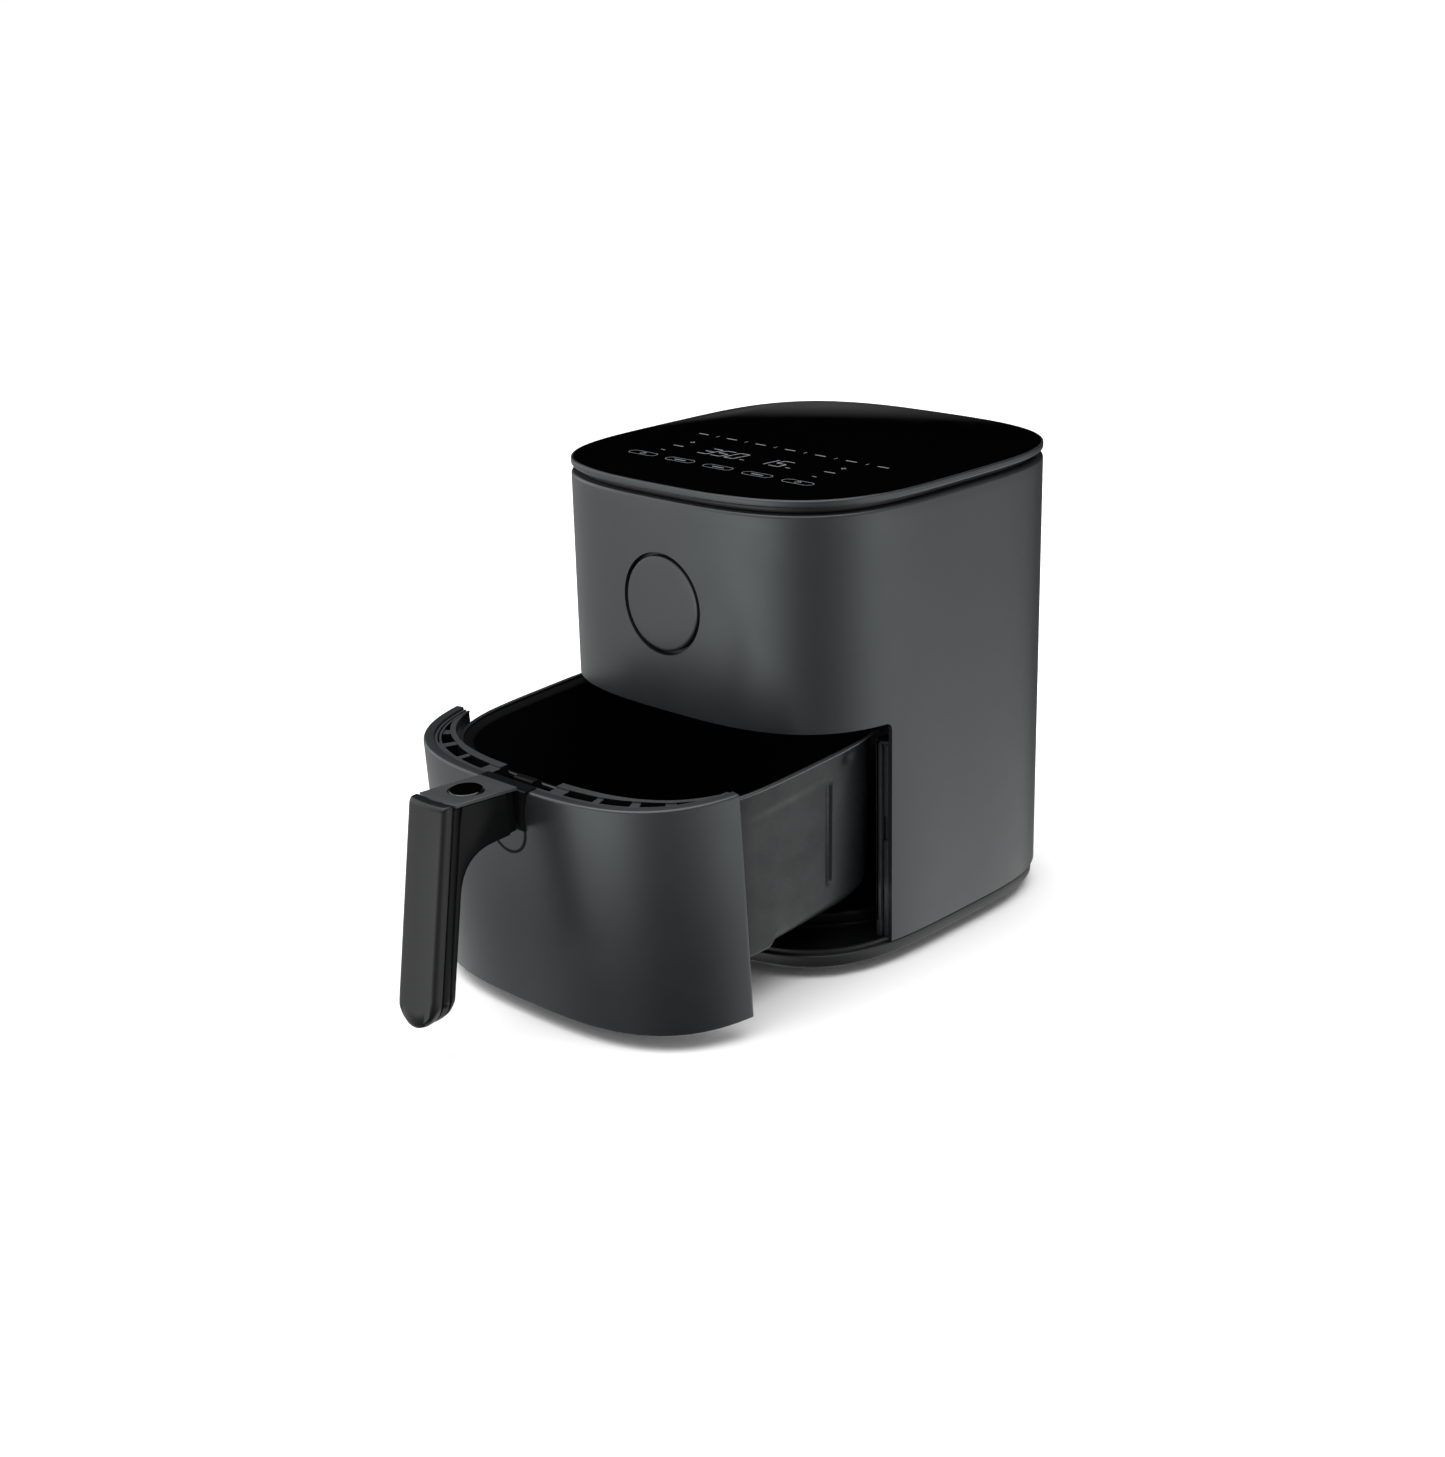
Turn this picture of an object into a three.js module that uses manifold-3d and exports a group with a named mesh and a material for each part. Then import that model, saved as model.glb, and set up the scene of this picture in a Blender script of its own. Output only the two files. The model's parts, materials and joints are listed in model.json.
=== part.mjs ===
// A compact air fryer with its drawer pulled part of the way out.
// Millimetres, +Z up, the front faces -Y, and the feet stand on z = 0.

import * as THREE from "three";
import { mergeVertices } from "three/addons/utils/BufferGeometryUtils.js";
import Module from "manifold-3d";

const wasm = await Module();
wasm.setup();

// ---- Driving dimensions -------------------------------------------------------------------

// The plan of the housing is a superellipse, |x / a|^p + |y / b|^q = 1.
const HALF_WIDTH = 125.2;
const HALF_DEPTH = 135.9;
const POWER_X = 2.97;
const POWER_Y = 3.81;
const PLAN_STEPS = 48;
const PLAY = 0.3; // gap between pieces that touch

const HEIGHT = 302;
const LID_BOTTOM = 297.5;
const NECK_INSET = 5.5;
const SHELL_TOP = 293.3;
const SHELL_BOTTOM = 17;
const SHELL_WALL = 3;

const OPENING_TOP = 160.6;
const OPENING_BACK = -66; // the shell's front edges stand here
const OPENING_CORNER = 2;

const BASE_BOTTOM = 1.6;
const BASE_TOP = 16.6;
const BASE_STEP = 10.4;
const FLOOR_RADIUS = 110;
const FLOOR_TOP = 27;

const CHAMBER_DECK = 161.5;
const CHAMBER_RADIUS = 103;
const BADGE_HEIGHT = 228.2;
const BADGE_RADIUS = 29.7;
const BADGE_HOLE = 32;

const GUIDE_INNER = 109.5;
const GUIDE_TOP = 147;
const GUIDE_BACK = 58;

// The drawer is drawn closed, then moved out and tipped on the glide bar.
const DRAWER_OUT = 126;
const DRAWER_TIP = THREE.MathUtils.degToRad(3.1);
const GLIDE_Y = -106;
const GLIDE_Z = 35.4;
const GLIDE_RADIUS = 4;

const FRONT_BOTTOM = 18;
const FRONT_TOP = 159.4;
const FRONT_BACK = -67.5;
const FRONT_WALL = 3;
const LIP_WIDTH = 6;
const FRAME_TOP = 157.9;
const FRAME_BOTTOM = 44;

const RIM_HALF_WIDTH = 116;
const PAN_DEPTH_RATIO = 110 / RIM_HALF_WIDTH;
const RIM_TOP = 151.6;
const PAN_BOTTOM = 40;

const HANDLE_HALF = 16;
const ARM_ROOT = -139.4;
const ARM_END = -192;
const ARM_TOP_ROOT = 163;
const ARM_TOP_END = 168.5;
const BUTTON_Y = -163;
const BUTTON_RADIUS = 10;

const CENTRE_SHIFT = 104.29; // puts the whole object's box over the origin

// ---- Materials ----------------------------------------------------------------------------

function finish(color, roughness, metalness = 0) {
  return new THREE.MeshStandardMaterial({ color, roughness, metalness });
}

const slate = () => finish(0x55595b, 0.5);
const black = () => finish(0x17181a, 0.55);
const gloss = () => finish(0x050506, 0.12);
const rubber = () => finish(0x1c1c1d, 0.9);
const sheet = () => finish(0xa7a9ab, 0.4, 0.9);
const coated = () => finish(0x2b2d30, 0.45, 0.4);
const steel = () => finish(0x8c8f92, 0.35, 1);
const board = () => finish(0x1f5b3a, 0.6);

// ---- Solids -------------------------------------------------------------------------------

// A closed three.js geometry as a solid that can be joined and cut.
function solid(geometry) {
  const loose = geometry.index ? geometry.toNonIndexed() : geometry;
  const bare = new THREE.BufferGeometry();
  bare.setAttribute("position", loose.getAttribute("position"));
  const merged = mergeVertices(bare, 1e-4);
  return new wasm.Manifold(
    new wasm.Mesh({
      numProp: 3,
      vertProperties: merged.attributes.position.array,
      triVerts: new Uint32Array(merged.index.array),
    }),
  );
}

function geometryOf(body) {
  const mesh = body.getMesh();
  const geometry = new THREE.BufferGeometry();
  const positions = new THREE.BufferAttribute(mesh.vertProperties, mesh.numProp);
  geometry.setAttribute("position", positions);
  geometry.setIndex(new THREE.BufferAttribute(mesh.triVerts, 1));
  const flat = geometry.toNonIndexed();
  flat.computeVertexNormals();
  return flat;
}

function boxGeometry(x0, x1, y0, y1, z0, z1) {
  const geometry = new THREE.BoxGeometry(x1 - x0, y1 - y0, z1 - z0);
  return geometry.translate((x0 + x1) / 2, (y0 + y1) / 2, (z0 + z1) / 2);
}

function box(x0, x1, y0, y1, z0, z1) {
  return solid(boxGeometry(x0, x1, y0, y1, z0, z1));
}

// A box turned about +Z, then moved to (x, y).
function spunBox(corners, degrees, x = 0, y = 0) {
  const geometry = boxGeometry(...corners).rotateZ(THREE.MathUtils.degToRad(degrees));
  return solid(geometry.translate(x, y, 0));
}

// A closed profile of [radius, height] points turned about +Z.
function turnedGeometry(profile, steps) {
  const points = profile.map(([radius, z]) => new THREE.Vector2(radius, z));
  return new THREE.LatheGeometry(points, steps).rotateX(Math.PI / 2);
}

// The same, with the circle drawn out to the housing's kind of superellipse.
// The radius in the profile is the half width, and ratio is depth over width.
function squircled(profile, ratio = HALF_DEPTH / HALF_WIDTH, steps = PLAN_STEPS) {
  const geometry = turnedGeometry(profile, steps);
  const position = geometry.getAttribute("position");
  const bend = (value, power) => Math.sign(value) * Math.abs(value) ** (2 / power);
  for (let i = 0; i < position.count; i++) {
    const radius = Math.hypot(position.getX(i), position.getY(i));
    if (radius < 1e-6) continue;
    const x = radius * bend(position.getX(i) / radius, POWER_X);
    const y = radius * ratio * bend(position.getY(i) / radius, POWER_Y);
    position.setXY(i, x, y);
  }
  return solid(geometry);
}

// A turned solid that stands on the axis through (x, y).
function turned(profile, steps = 32, x = 0, y = 0) {
  return solid(turnedGeometry(profile, steps).translate(x, y, 0));
}

// Profiles that are used again and again.
const plate = (radius, z0, z1) => [
  [0, z0],
  [radius, z0],
  [radius, z1],
  [0, z1],
];
const ring = (inner, outer, z0, z1) => [
  [inner, z0],
  [outer, z0],
  [outer, z1],
  [inner, z1],
  [inner, z0],
];

function slab(inset, z0, z1) {
  return squircled(plate(HALF_WIDTH - inset, z0, z1));
}

function band(inset, width, z0, z1) {
  return squircled(ring(HALF_WIDTH - inset - width, HALF_WIDTH - inset, z0, z1));
}

// A round bar along Y through (x, z).
function barAlongY(x, z, radius, y0, y1, steps = 32) {
  const geometry = new THREE.CylinderGeometry(radius, radius, y1 - y0, steps);
  return solid(geometry.translate(x, (y0 + y1) / 2, z));
}

// The y-z outline of a piece, drawn across x.
function acrossX(shape, x0, x1, curveSteps = 8) {
  const settings = { depth: x1 - x0, bevelEnabled: false, curveSegments: curveSteps };
  const geometry = new THREE.ExtrudeGeometry(shape, settings);
  const turn = new THREE.Matrix4().makeBasis(
    new THREE.Vector3(0, 1, 0),
    new THREE.Vector3(0, 0, 1),
    new THREE.Vector3(1, 0, 0),
  );
  return solid(geometry.applyMatrix4(turn).translate(x0, 0, 0));
}

// The x-z outline of a piece, drawn back from y0 to y1.
function alongY(shape, y0, y1, curveSteps = 8) {
  const settings = { depth: y1 - y0, bevelEnabled: false, curveSegments: curveSteps };
  const geometry = new THREE.ExtrudeGeometry(shape, settings);
  return solid(geometry.rotateX(Math.PI / 2).translate(0, y1, 0));
}

function joined(...bodies) {
  return bodies.reduce((whole, body) => whole.add(body));
}

function cut(body, ...tools) {
  return tools.reduce((rest, tool) => rest.subtract(tool), body);
}

function piece(group, name, material, body) {
  const mesh = new THREE.Mesh(geometryOf(body), material);
  mesh.name = name;
  group.add(mesh);
}

// ---- Housing: casings ---------------------------------------------------------------------

function openingOutline() {
  const half = HALF_WIDTH + 5;
  const inner = 122.5 - OPENING_CORNER;
  const shape = new THREE.Shape();
  shape.moveTo(-half, SHELL_BOTTOM - 10);
  shape.lineTo(half, SHELL_BOTTOM - 10);
  shape.lineTo(half, OPENING_TOP - OPENING_CORNER);
  shape.lineTo(inner + OPENING_CORNER, OPENING_TOP - OPENING_CORNER);
  shape.absarc(inner, OPENING_TOP - OPENING_CORNER, OPENING_CORNER, 0, Math.PI / 2);
  shape.lineTo(-inner, OPENING_TOP);
  shape.absarc(-inner, OPENING_TOP - OPENING_CORNER, OPENING_CORNER, Math.PI / 2, Math.PI);
  shape.lineTo(-half, OPENING_TOP - OPENING_CORNER);
  return shape;
}

const VENT = { half: 44, bottom: 190, top: 250 };
const CORD = { x: 36, z: 38, hole: 8 };

function outerShell() {
  const edge = HALF_WIDTH;
  const inner = edge - SHELL_WALL;
  const profile = [
    [edge - 1.2, SHELL_BOTTOM],
    [edge, SHELL_BOTTOM + 1.2],
    [edge, SHELL_TOP - 1.5],
    [edge - 1.5, SHELL_TOP],
    [edge - 12, SHELL_TOP],
    [edge - 12, SHELL_TOP - SHELL_WALL],
    [inner, SHELL_TOP - SHELL_WALL],
    [inner, SHELL_BOTTOM],
    [edge - 1.2, SHELL_BOTTOM],
  ];
  const back = HALF_DEPTH + 5;
  return cut(
    squircled(profile),
    alongY(openingOutline(), -HALF_DEPTH - 10, OPENING_BACK),
    barAlongY(0, BADGE_HEIGHT, BADGE_HOLE, -HALF_DEPTH - 5, -HALF_DEPTH + 15, 48),
    box(-VENT.half, VENT.half, 100, back, VENT.bottom, VENT.top),
    barAlongY(CORD.x, CORD.z, CORD.hole, 100, back, 24),
  );
}

function rearVent() {
  const cover = band(0.4, SHELL_WALL - 0.6, VENT.bottom + PLAY, VENT.top - PLAY);
  const reach = VENT.half - PLAY;
  const kept = box(-reach, reach, 100, HALF_DEPTH, VENT.bottom, VENT.top);
  const slots = [];
  const pitch = 6;
  for (let z = VENT.bottom + 5; z < VENT.top - 5; z += pitch) {
    slots.push(box(-reach + 5, -2, 100, HALF_DEPTH, z, z + 3));
    slots.push(box(2, reach - 5, 100, HALF_DEPTH, z, z + 3));
  }
  return cut(cover.intersect(kept), ...slots);
}

function cordInlet() {
  const bush = new THREE.LatheGeometry(
    [
      [3.8, 0],
      [9, 0],
      [9, 2],
      [7.4, 2],
      [7.4, 9],
      [3.8, 9],
      [3.8, 0],
    ].map(([radius, z]) => new THREE.Vector2(radius, z)),
    24,
  );
  // The axis of the bush runs front to back, with its collar outside the shell.
  return solid(bush.rotateX(Math.PI).translate(CORD.x, HALF_DEPTH + 1.9, CORD.z));
}

function baseTray() {
  const hollow = slab(6, BASE_BOTTOM + 3, BASE_TOP + 1);
  const body = joined(slab(3.9, BASE_BOTTOM, BASE_TOP), slab(1.4, BASE_STEP, BASE_TOP));
  const pockets = footPlaces().map(([x, y]) =>
    turned(plate(9.3, BASE_BOTTOM - 1, BASE_BOTTOM + 1.4), 24, x, y),
  );
  return cut(body, hollow, ...pockets);
}

function footPlaces() {
  const x = 78;
  const y = 88;
  return [
    [-x, -y],
    [x, -y],
    [-x, y],
    [x, y],
  ];
}

function foot(x, y) {
  return turned(plate(9, 0, BASE_BOTTOM + 1.1), 24, x, y);
}

// The floor of the cavity, with a low round step that is hollow below, and the seats of the glide bar.
function cavityFloor() {
  const under = BASE_TOP - 3;
  const step = turned(plate(FLOOR_RADIUS, BASE_TOP - 1, FLOOR_TOP), 40);
  const hollow = turned(plate(FLOOR_RADIUS - 3, under - 1, FLOOR_TOP - 2), 40);
  const floor = cut(joined(slab(6.4, under, BASE_TOP), step), hollow);
  const seats = [-33, 27].map((x) =>
    box(x, x + 6, GLIDE_Y - 5, GLIDE_Y + 6, FLOOR_TOP - 8, GLIDE_Z + 1),
  );
  const clearance = barAcross(GLIDE_RADIUS + PLAY, 34);
  const mouth = barAcross(GLIDE_RADIUS, 33, 0.6);
  return cut(joined(floor, ...seats), clearance, mouth);
}

function barAcross(radius, half, lift = 0) {
  const bar = new THREE.CylinderGeometry(radius, radius, 2 * half, 16);
  return solid(bar.rotateZ(Math.PI / 2).translate(0, GLIDE_Y, GLIDE_Z + lift));
}

function glideBar() {
  return barAcross(GLIDE_RADIUS, 33);
}

// A flange beside the drawer, a side wall behind it and a rail on top, in one moulding.
function guide(side) {
  const front = OPENING_BACK + 0.8;
  const sideBox = (near, far, ...rest) =>
    side > 0 ? box(near, far, ...rest) : box(-far, -near, ...rest);
  const inner = GUIDE_INNER;
  const flange = sideBox(inner, 119, front, front + 3, BASE_TOP + PLAY, GUIDE_TOP);
  const wall = sideBox(inner, inner + 2, front, GUIDE_BACK, FLOOR_TOP + PLAY, GUIDE_TOP);
  const rail = sideBox(inner, 118.4, front, GUIDE_BACK, GUIDE_TOP - 2, GUIDE_TOP);
  const slot = sideBox(114.6, 118, front - 1, front + 4, 82, 98);
  return joined(cut(flange, slot), wall, rail);
}

function cavityLiner() {
  const sheetBand = squircled(ring(116.4, 117.4, FLOOR_TOP + PLAY, CHAMBER_DECK - PLAY));
  return sheetBand.intersect(box(-130, 130, GUIDE_BACK + 2, 140, 0, 200));
}

// ---- Housing: lid and controls ------------------------------------------------------------

function neckRing() {
  const upper = band(NECK_INSET, 8.5, SHELL_TOP + PLAY, LID_BOTTOM - PLAY);
  const lower = band(12.3, 1.7, SHELL_TOP - 8, SHELL_TOP + 1);
  return joined(upper, lower);
}

const WINDOW = { half: 84, front: -94, back: -6 };

function lidFrame() {
  const window = box(-WINDOW.half, WINDOW.half, WINDOW.front, WINDOW.back, 290, 310);
  return cut(slab(0, LID_BOTTOM, HEIGHT - 1.3), window);
}

function touchPanel() {
  return slab(0.5, HEIGHT - 1, HEIGHT);
}

// ---- Housing: hot air ---------------------------------------------------------------------

function chamberDeck() {
  const hole = turned(plate(CHAMBER_RADIUS + 1.2, 150, 170), 32);
  return cut(slab(SHELL_WALL + 0.6, CHAMBER_DECK, CHAMBER_DECK + 1.2), hole);
}

// A pressed bowl, open below, with a flange at its mouth and a hole for the shaft.
function bowl(radius, mouth, top, hole) {
  const t = 1;
  return turned(
    [
      [radius + 6, mouth],
      [radius + 6, mouth + t],
      [radius, mouth + t],
      [radius, top - 8],
      [radius - 8, top],
      [hole, top],
      [hole, top - t],
      [radius - 8 - t, top - t],
      [radius - t, top - 8 - t],
      [radius - t, mouth],
      [radius + 6, mouth],
    ],
    24,
  );
}

// A flat coil below the fan, wider than it, whose two ends rise beside it.
function heatingElement() {
  const z = 174;
  const turns = 1.55;
  const [inner, outer] = [78, 93];
  const steps = 24;
  const points = [new THREE.Vector3(inner, -6, z + 22), new THREE.Vector3(inner, -4, z + 8)];
  for (let i = 0; i <= steps; i++) {
    const angle = 0.1 + (i / steps) * (2 * Math.PI * turns);
    const radius = inner + ((outer - inner) * i) / steps;
    points.push(new THREE.Vector3(radius * Math.cos(angle), radius * Math.sin(angle), z));
  }
  const last = points.at(-1).clone();
  points.push(last.clone().add(new THREE.Vector3(3, 7, 8)), last.add(new THREE.Vector3(3, 8, 22)));
  const path = new THREE.CatmullRomCurve3(points);
  const section = new THREE.Shape().absarc(0, 0, 3.2, 0, 2 * Math.PI);
  const settings = { steps: 48, extrudePath: path, curveSegments: 3, bevelEnabled: false };
  return solid(new THREE.ExtrudeGeometry(section, settings));
}

function elementGuard() {
  const z = CHAMBER_DECK + 2.5;
  const rings = [50, 99].map((radius) => turned(ring(radius, radius + 2, z, z + 2), 24));
  const spokes = [0, 60, 120].map((degrees) => spunBox([-100, 100, -1, 1, z, z + 2], degrees));
  return joined(...rings, ...spokes);
}

const MOTOR = { bottom: 226, top: 258, radius: 27 };

function motorBracket() {
  const foot = (degrees) => spunBox([20, 62, -7, 7, 223, 225], degrees);
  const hub = turned(plate(34, 223, 225));
  const hole = turned(plate(9, 220, 230));
  return cut(joined(hub, foot(30), foot(150), foot(270)), hole);
}

function fan(bottom, height, radius, blades) {
  const hub = turned(ring(3.3, 9, bottom, bottom + height), 16);
  const web = turned(ring(8, radius * 0.55, bottom + height - 1.2, bottom + height), 20);
  const vanes = [];
  for (let i = 0; i < blades; i++) {
    vanes.push(spunBox([8, radius, -0.7, 0.7, bottom, bottom + height], (360 * i) / blades));
  }
  return joined(hub, web, ...vanes);
}

function wireHarness() {
  const path = new THREE.CatmullRomCurve3([
    new THREE.Vector3(70, 70, 243),
    new THREE.Vector3(76, 66, 256),
    new THREE.Vector3(74, 40, 270),
    new THREE.Vector3(70, 0, 276),
    new THREE.Vector3(66, -20, 281),
  ]);
  const section = new THREE.Shape().absarc(0, 0, 2.5, 0, 2 * Math.PI);
  const settings = { steps: 10, extrudePath: path, curveSegments: 4, bevelEnabled: false };
  return solid(new THREE.ExtrudeGeometry(section, settings));
}

// ---- Interlock ----------------------------------------------------------------------------

const INTERLOCK = { x: 116.3, z: 90, front: -62, back: -42 };

function interlockSwitch() {
  const { x, z, front, back } = INTERLOCK;
  const body = box(x - 4.4, x + 2.2, front + 6, back, z - 10, z + 10);
  return cut(body, box(x - 1.5, x + 1.5, front + 5, front + 12, z - 2.5, z + 2.5));
}

function interlockPlunger() {
  const { x, z, front } = INTERLOCK;
  return box(x - 1.1, x + 1.1, front, front + 8, z - 2, z + 2);
}

// ---- Drawer -------------------------------------------------------------------------------

const inFront = () => box(-140, 140, -150, FRONT_BACK, 0, 200);

function drawerFront() {
  const edge = HALF_WIDTH;
  const profile = [
    [edge - 1, FRONT_BOTTOM],
    [edge, FRONT_BOTTOM + 1],
    [edge, FRONT_TOP - 1],
    [edge - 1, FRONT_TOP],
    [edge - LIP_WIDTH, FRONT_TOP],
    [edge - LIP_WIDTH, FRONT_TOP - 2],
    [edge - FRONT_WALL, FRONT_TOP - 2],
    [edge - FRONT_WALL, FRONT_BOTTOM],
    [edge - 1, FRONT_BOTTOM],
  ];
  return squircled(profile).intersect(inFront());
}

// The frame fills the space between the front panel and the rim of the pan. It is open below.
const FRAME_WALL = 2.4;

// The space inside the rim's outline, moved out by a gap.
function panFollower(gap) {
  const half = RIM_HALF_WIDTH + gap;
  return squircled(plate(half, 0, 200), (RIM_HALF_WIDTH * PAN_DEPTH_RATIO + gap) / half);
}

function drawerFrame() {
  const outer = HALF_WIDTH - FRONT_WALL - PLAY;
  const lipTop = FRONT_TOP - 2 - PLAY;
  const core = squircled(plate(outer, FRAME_BOTTOM, lipTop));
  const crown = squircled(plate(HALF_WIDTH - LIP_WIDTH - PLAY, lipTop - 1, FRAME_TOP));
  const panSpace = panFollower(1.2);
  const { x, z, front } = INTERLOCK;
  const prong = box(x - 1.1, x + 1.1, FRONT_BACK - 3, front - 0.5, z - 2, z + 2);
  const innerWall = panFollower(3.6);
  const hollow = cut(squircled(plate(outer - FRAME_WALL, 0, FRAME_TOP - FRAME_WALL)), innerWall);
  const body = cut(joined(core, crown), panSpace, hollow).intersect(inFront());
  return cut(joined(body, prong), ...framePockets());
}

// Rows of pockets open at the top, spread along the curve of the front.
function framePockets() {
  const pockets = [];
  for (const side of [-1, 1]) {
    for (const [x, y, turn, length] of [
      [31, -120.5, 2, 17],
      [55, -117.5, 9, 16],
      [76, -110.5, 22, 13],
      [93, -100.5, 38, 11],
    ]) {
      pockets.push(spunBox([-length / 2, length / 2, -4, 4, 70, 200], side * turn, side * x, y));
    }
  }
  const latchWell = box(-12, 12, -126, -100, 128, 200);
  const screwHoles = SCREW.places.map((x) =>
    barAlongY(x, SCREW.z, 4, -HALF_DEPTH, SCREW.back + 1, 12),
  );
  return [...pockets, latchWell, ...screwHoles];
}

function pan() {
  const rim = RIM_HALF_WIDTH;
  return squircled(
    [
      [0, PAN_BOTTOM],
      [88, PAN_BOTTOM],
      [98, 46],
      [101.5, 56],
      [107.5, RIM_TOP - 4],
      [rim - 1, RIM_TOP - 3],
      [rim, RIM_TOP - 1.5],
      [rim - 1, RIM_TOP],
      [106, RIM_TOP],
      [100.2, 57],
      [96.8, 48],
      [87, PAN_BOTTOM + 1.5],
      [0, PAN_BOTTOM + 1.5],
    ],
    PAN_DEPTH_RATIO,
  );
}

// ---- Crisper plate ------------------------------------------------------------------------

const PLATE = { half: 92, bottom: 54, thickness: 2.4 };
const BUMPER = { x: 66, y: 58, radius: 5 };

function bumperPlaces() {
  const { x, y } = BUMPER;
  return [
    [-x, -y],
    [x, -y],
    [-x, y],
    [x, y],
  ];
}

function crisperPlate() {
  const top = PLATE.bottom + PLATE.thickness;
  const body = squircled(plate(PLATE.half, PLATE.bottom, top), PAN_DEPTH_RATIO, 40);
  const slots = [];
  for (let row = -2; row <= 2; row++) {
    for (let column = -1; column <= 1; column++) {
      const [x, y] = [column * 36, row * 26];
      slots.push(box(x - 12, x + 12, y - 3, y + 3, PLATE.bottom - 1, top + 1));
    }
  }
  const holes = bumperPlaces().map(([x, y]) =>
    turned(plate(BUMPER.radius - 1.7, PLATE.bottom - 2, top + 2), 16, x, y),
  );
  return cut(body, ...slots, ...holes);
}

function plateBumper(x, y) {
  const { radius } = BUMPER;
  return turned(
    [
      [0, PAN_BOTTOM + 1.9],
      [radius, PAN_BOTTOM + 1.9],
      [radius, PLATE.bottom - PLAY],
      [radius - 2.1, PLATE.bottom - PLAY],
      [radius - 2.1, PLATE.bottom + PLATE.thickness + PLAY],
      [0, PLATE.bottom + PLATE.thickness + PLAY],
    ],
    16,
    x,
    y,
  );
}

// ---- Handle -------------------------------------------------------------------------------

// Where the arm's top surface is at depth y.
function armTop(y) {
  const along = (y - ARM_ROOT) / (ARM_END - ARM_ROOT);
  return ARM_TOP_ROOT + along * (ARM_TOP_END - ARM_TOP_ROOT);
}

// The grip's faces lean out towards the bottom.
const GRIP = { bottom: 38, lean: 0.21, backTop: -175, seam: 9, layer: 1.6, cover: 8.2 };

// Depth of the grip's back face at height z, moved forward by step.
function gripFace(z, step = 0) {
  return GRIP.backTop - GRIP.lean * (ARM_TOP_END - z) - step;
}

function handleBody() {
  const underside = 135.5;
  const bend = 22;
  const [front, back] = [GRIP.seam, 0];
  const low = GRIP.bottom + 9;
  const shape = new THREE.Shape();
  shape.moveTo(ARM_ROOT, underside);
  shape.lineTo(ARM_ROOT, armTop(ARM_ROOT) - 2.5);
  shape.lineTo(gripFace(ARM_TOP_END, front), armTop(gripFace(ARM_TOP_END, front)) - 2.5);
  shape.lineTo(gripFace(low, front), low);
  shape.lineTo(gripFace(GRIP.bottom + 3, front - 1), GRIP.bottom + 3);
  shape.lineTo(gripFace(GRIP.bottom + 3, 4), GRIP.bottom + 3);
  shape.lineTo(gripFace(low, back), low);
  shape.lineTo(gripFace(underside - bend, back), underside - bend);
  shape.quadraticCurveTo(gripFace(underside, back), underside, gripFace(underside) + bend, underside);
  const body = acrossX(shape, -HANDLE_HALF, HANDLE_HALF);
  const well = plate(BUTTON_RADIUS + 0.8, armTop(BUTTON_Y) - 14, 200);
  return cut(body, turned(well, 24, 0, BUTTON_Y));
}

function gripLayer(start, thickness, top, inset) {
  const bottom = GRIP.bottom + inset;
  const shape = new THREE.Shape();
  shape.moveTo(gripFace(top, start), top);
  shape.lineTo(gripFace(top, start + thickness), top);
  shape.lineTo(gripFace(bottom + 4, start + thickness), bottom + 4);
  shape.lineTo(gripFace(bottom, start + thickness * 0.5), bottom);
  shape.lineTo(gripFace(bottom + 2, start), bottom + 2);
  return acrossX(shape, -HANDLE_HALF, HANDLE_HALF);
}

function handleTop() {
  const end = gripFace(ARM_TOP_END, GRIP.seam + GRIP.layer - 1);
  const shape = new THREE.Shape();
  shape.moveTo(ARM_ROOT, armTop(ARM_ROOT) - 2.2);
  shape.lineTo(ARM_ROOT, armTop(ARM_ROOT));
  shape.lineTo(end, armTop(end));
  shape.lineTo(end, armTop(end) - 2.2);
  const body = acrossX(shape, -HANDLE_HALF, HANDLE_HALF);
  return cut(body, turned(plate(BUTTON_RADIUS + 0.6, 140, 200), 24, 0, BUTTON_Y));
}

// The two screws that hold the handle from behind.
const SCREW = { places: [-7.5, 7.5], z: 147, back: -126.2 };

// The plate that joins the arm to the front panel, with a rounded lower end.
function handleTongue() {
  const [wide, half, low] = [21, 16, 118];
  const shape = new THREE.Shape();
  shape.moveTo(wide, FRONT_TOP + 1.5);
  shape.quadraticCurveTo(half + 0.5, 150, half, 140);
  shape.lineTo(half, low + half);
  shape.absarc(0, low + half, half, 0, -Math.PI, true);
  shape.lineTo(-half, 140);
  shape.quadraticCurveTo(-half - 0.5, 150, -wide, FRONT_TOP + 1.5);
  return alongY(shape, ARM_ROOT + PLAY, -HALF_DEPTH - PLAY, 10);
}

function handleScrew(x) {
  const { z, back } = SCREW;
  const head = barAlongY(x, z, 3.4, back - 2.4, back, 12);
  return joined(head, barAlongY(x, z, 1.5, back - 6, back - 2, 12));
}

function releaseButton() {
  const top = armTop(BUTTON_Y) + 0.9;
  return turned(
    [
      [0, top - 6],
      [BUTTON_RADIUS, top - 6],
      [BUTTON_RADIUS, top - 1],
      [BUTTON_RADIUS - 1, top],
      [0, top],
    ],
    28,
    0,
    BUTTON_Y,
  );
}

function buttonSpring() {
  const top = armTop(BUTTON_Y) - 5.5;
  const bottom = armTop(BUTTON_Y) - 13.6;
  return turned(ring(4, 6, bottom, top), 20, 0, BUTTON_Y);
}

function panLatch() {
  return joined(box(-8, 8, -121, -113, 140, 158), box(-5, 5, -114, -111.6, 152.4, 157));
}

// ---- Assembly -----------------------------------------------------------------------------

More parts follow.
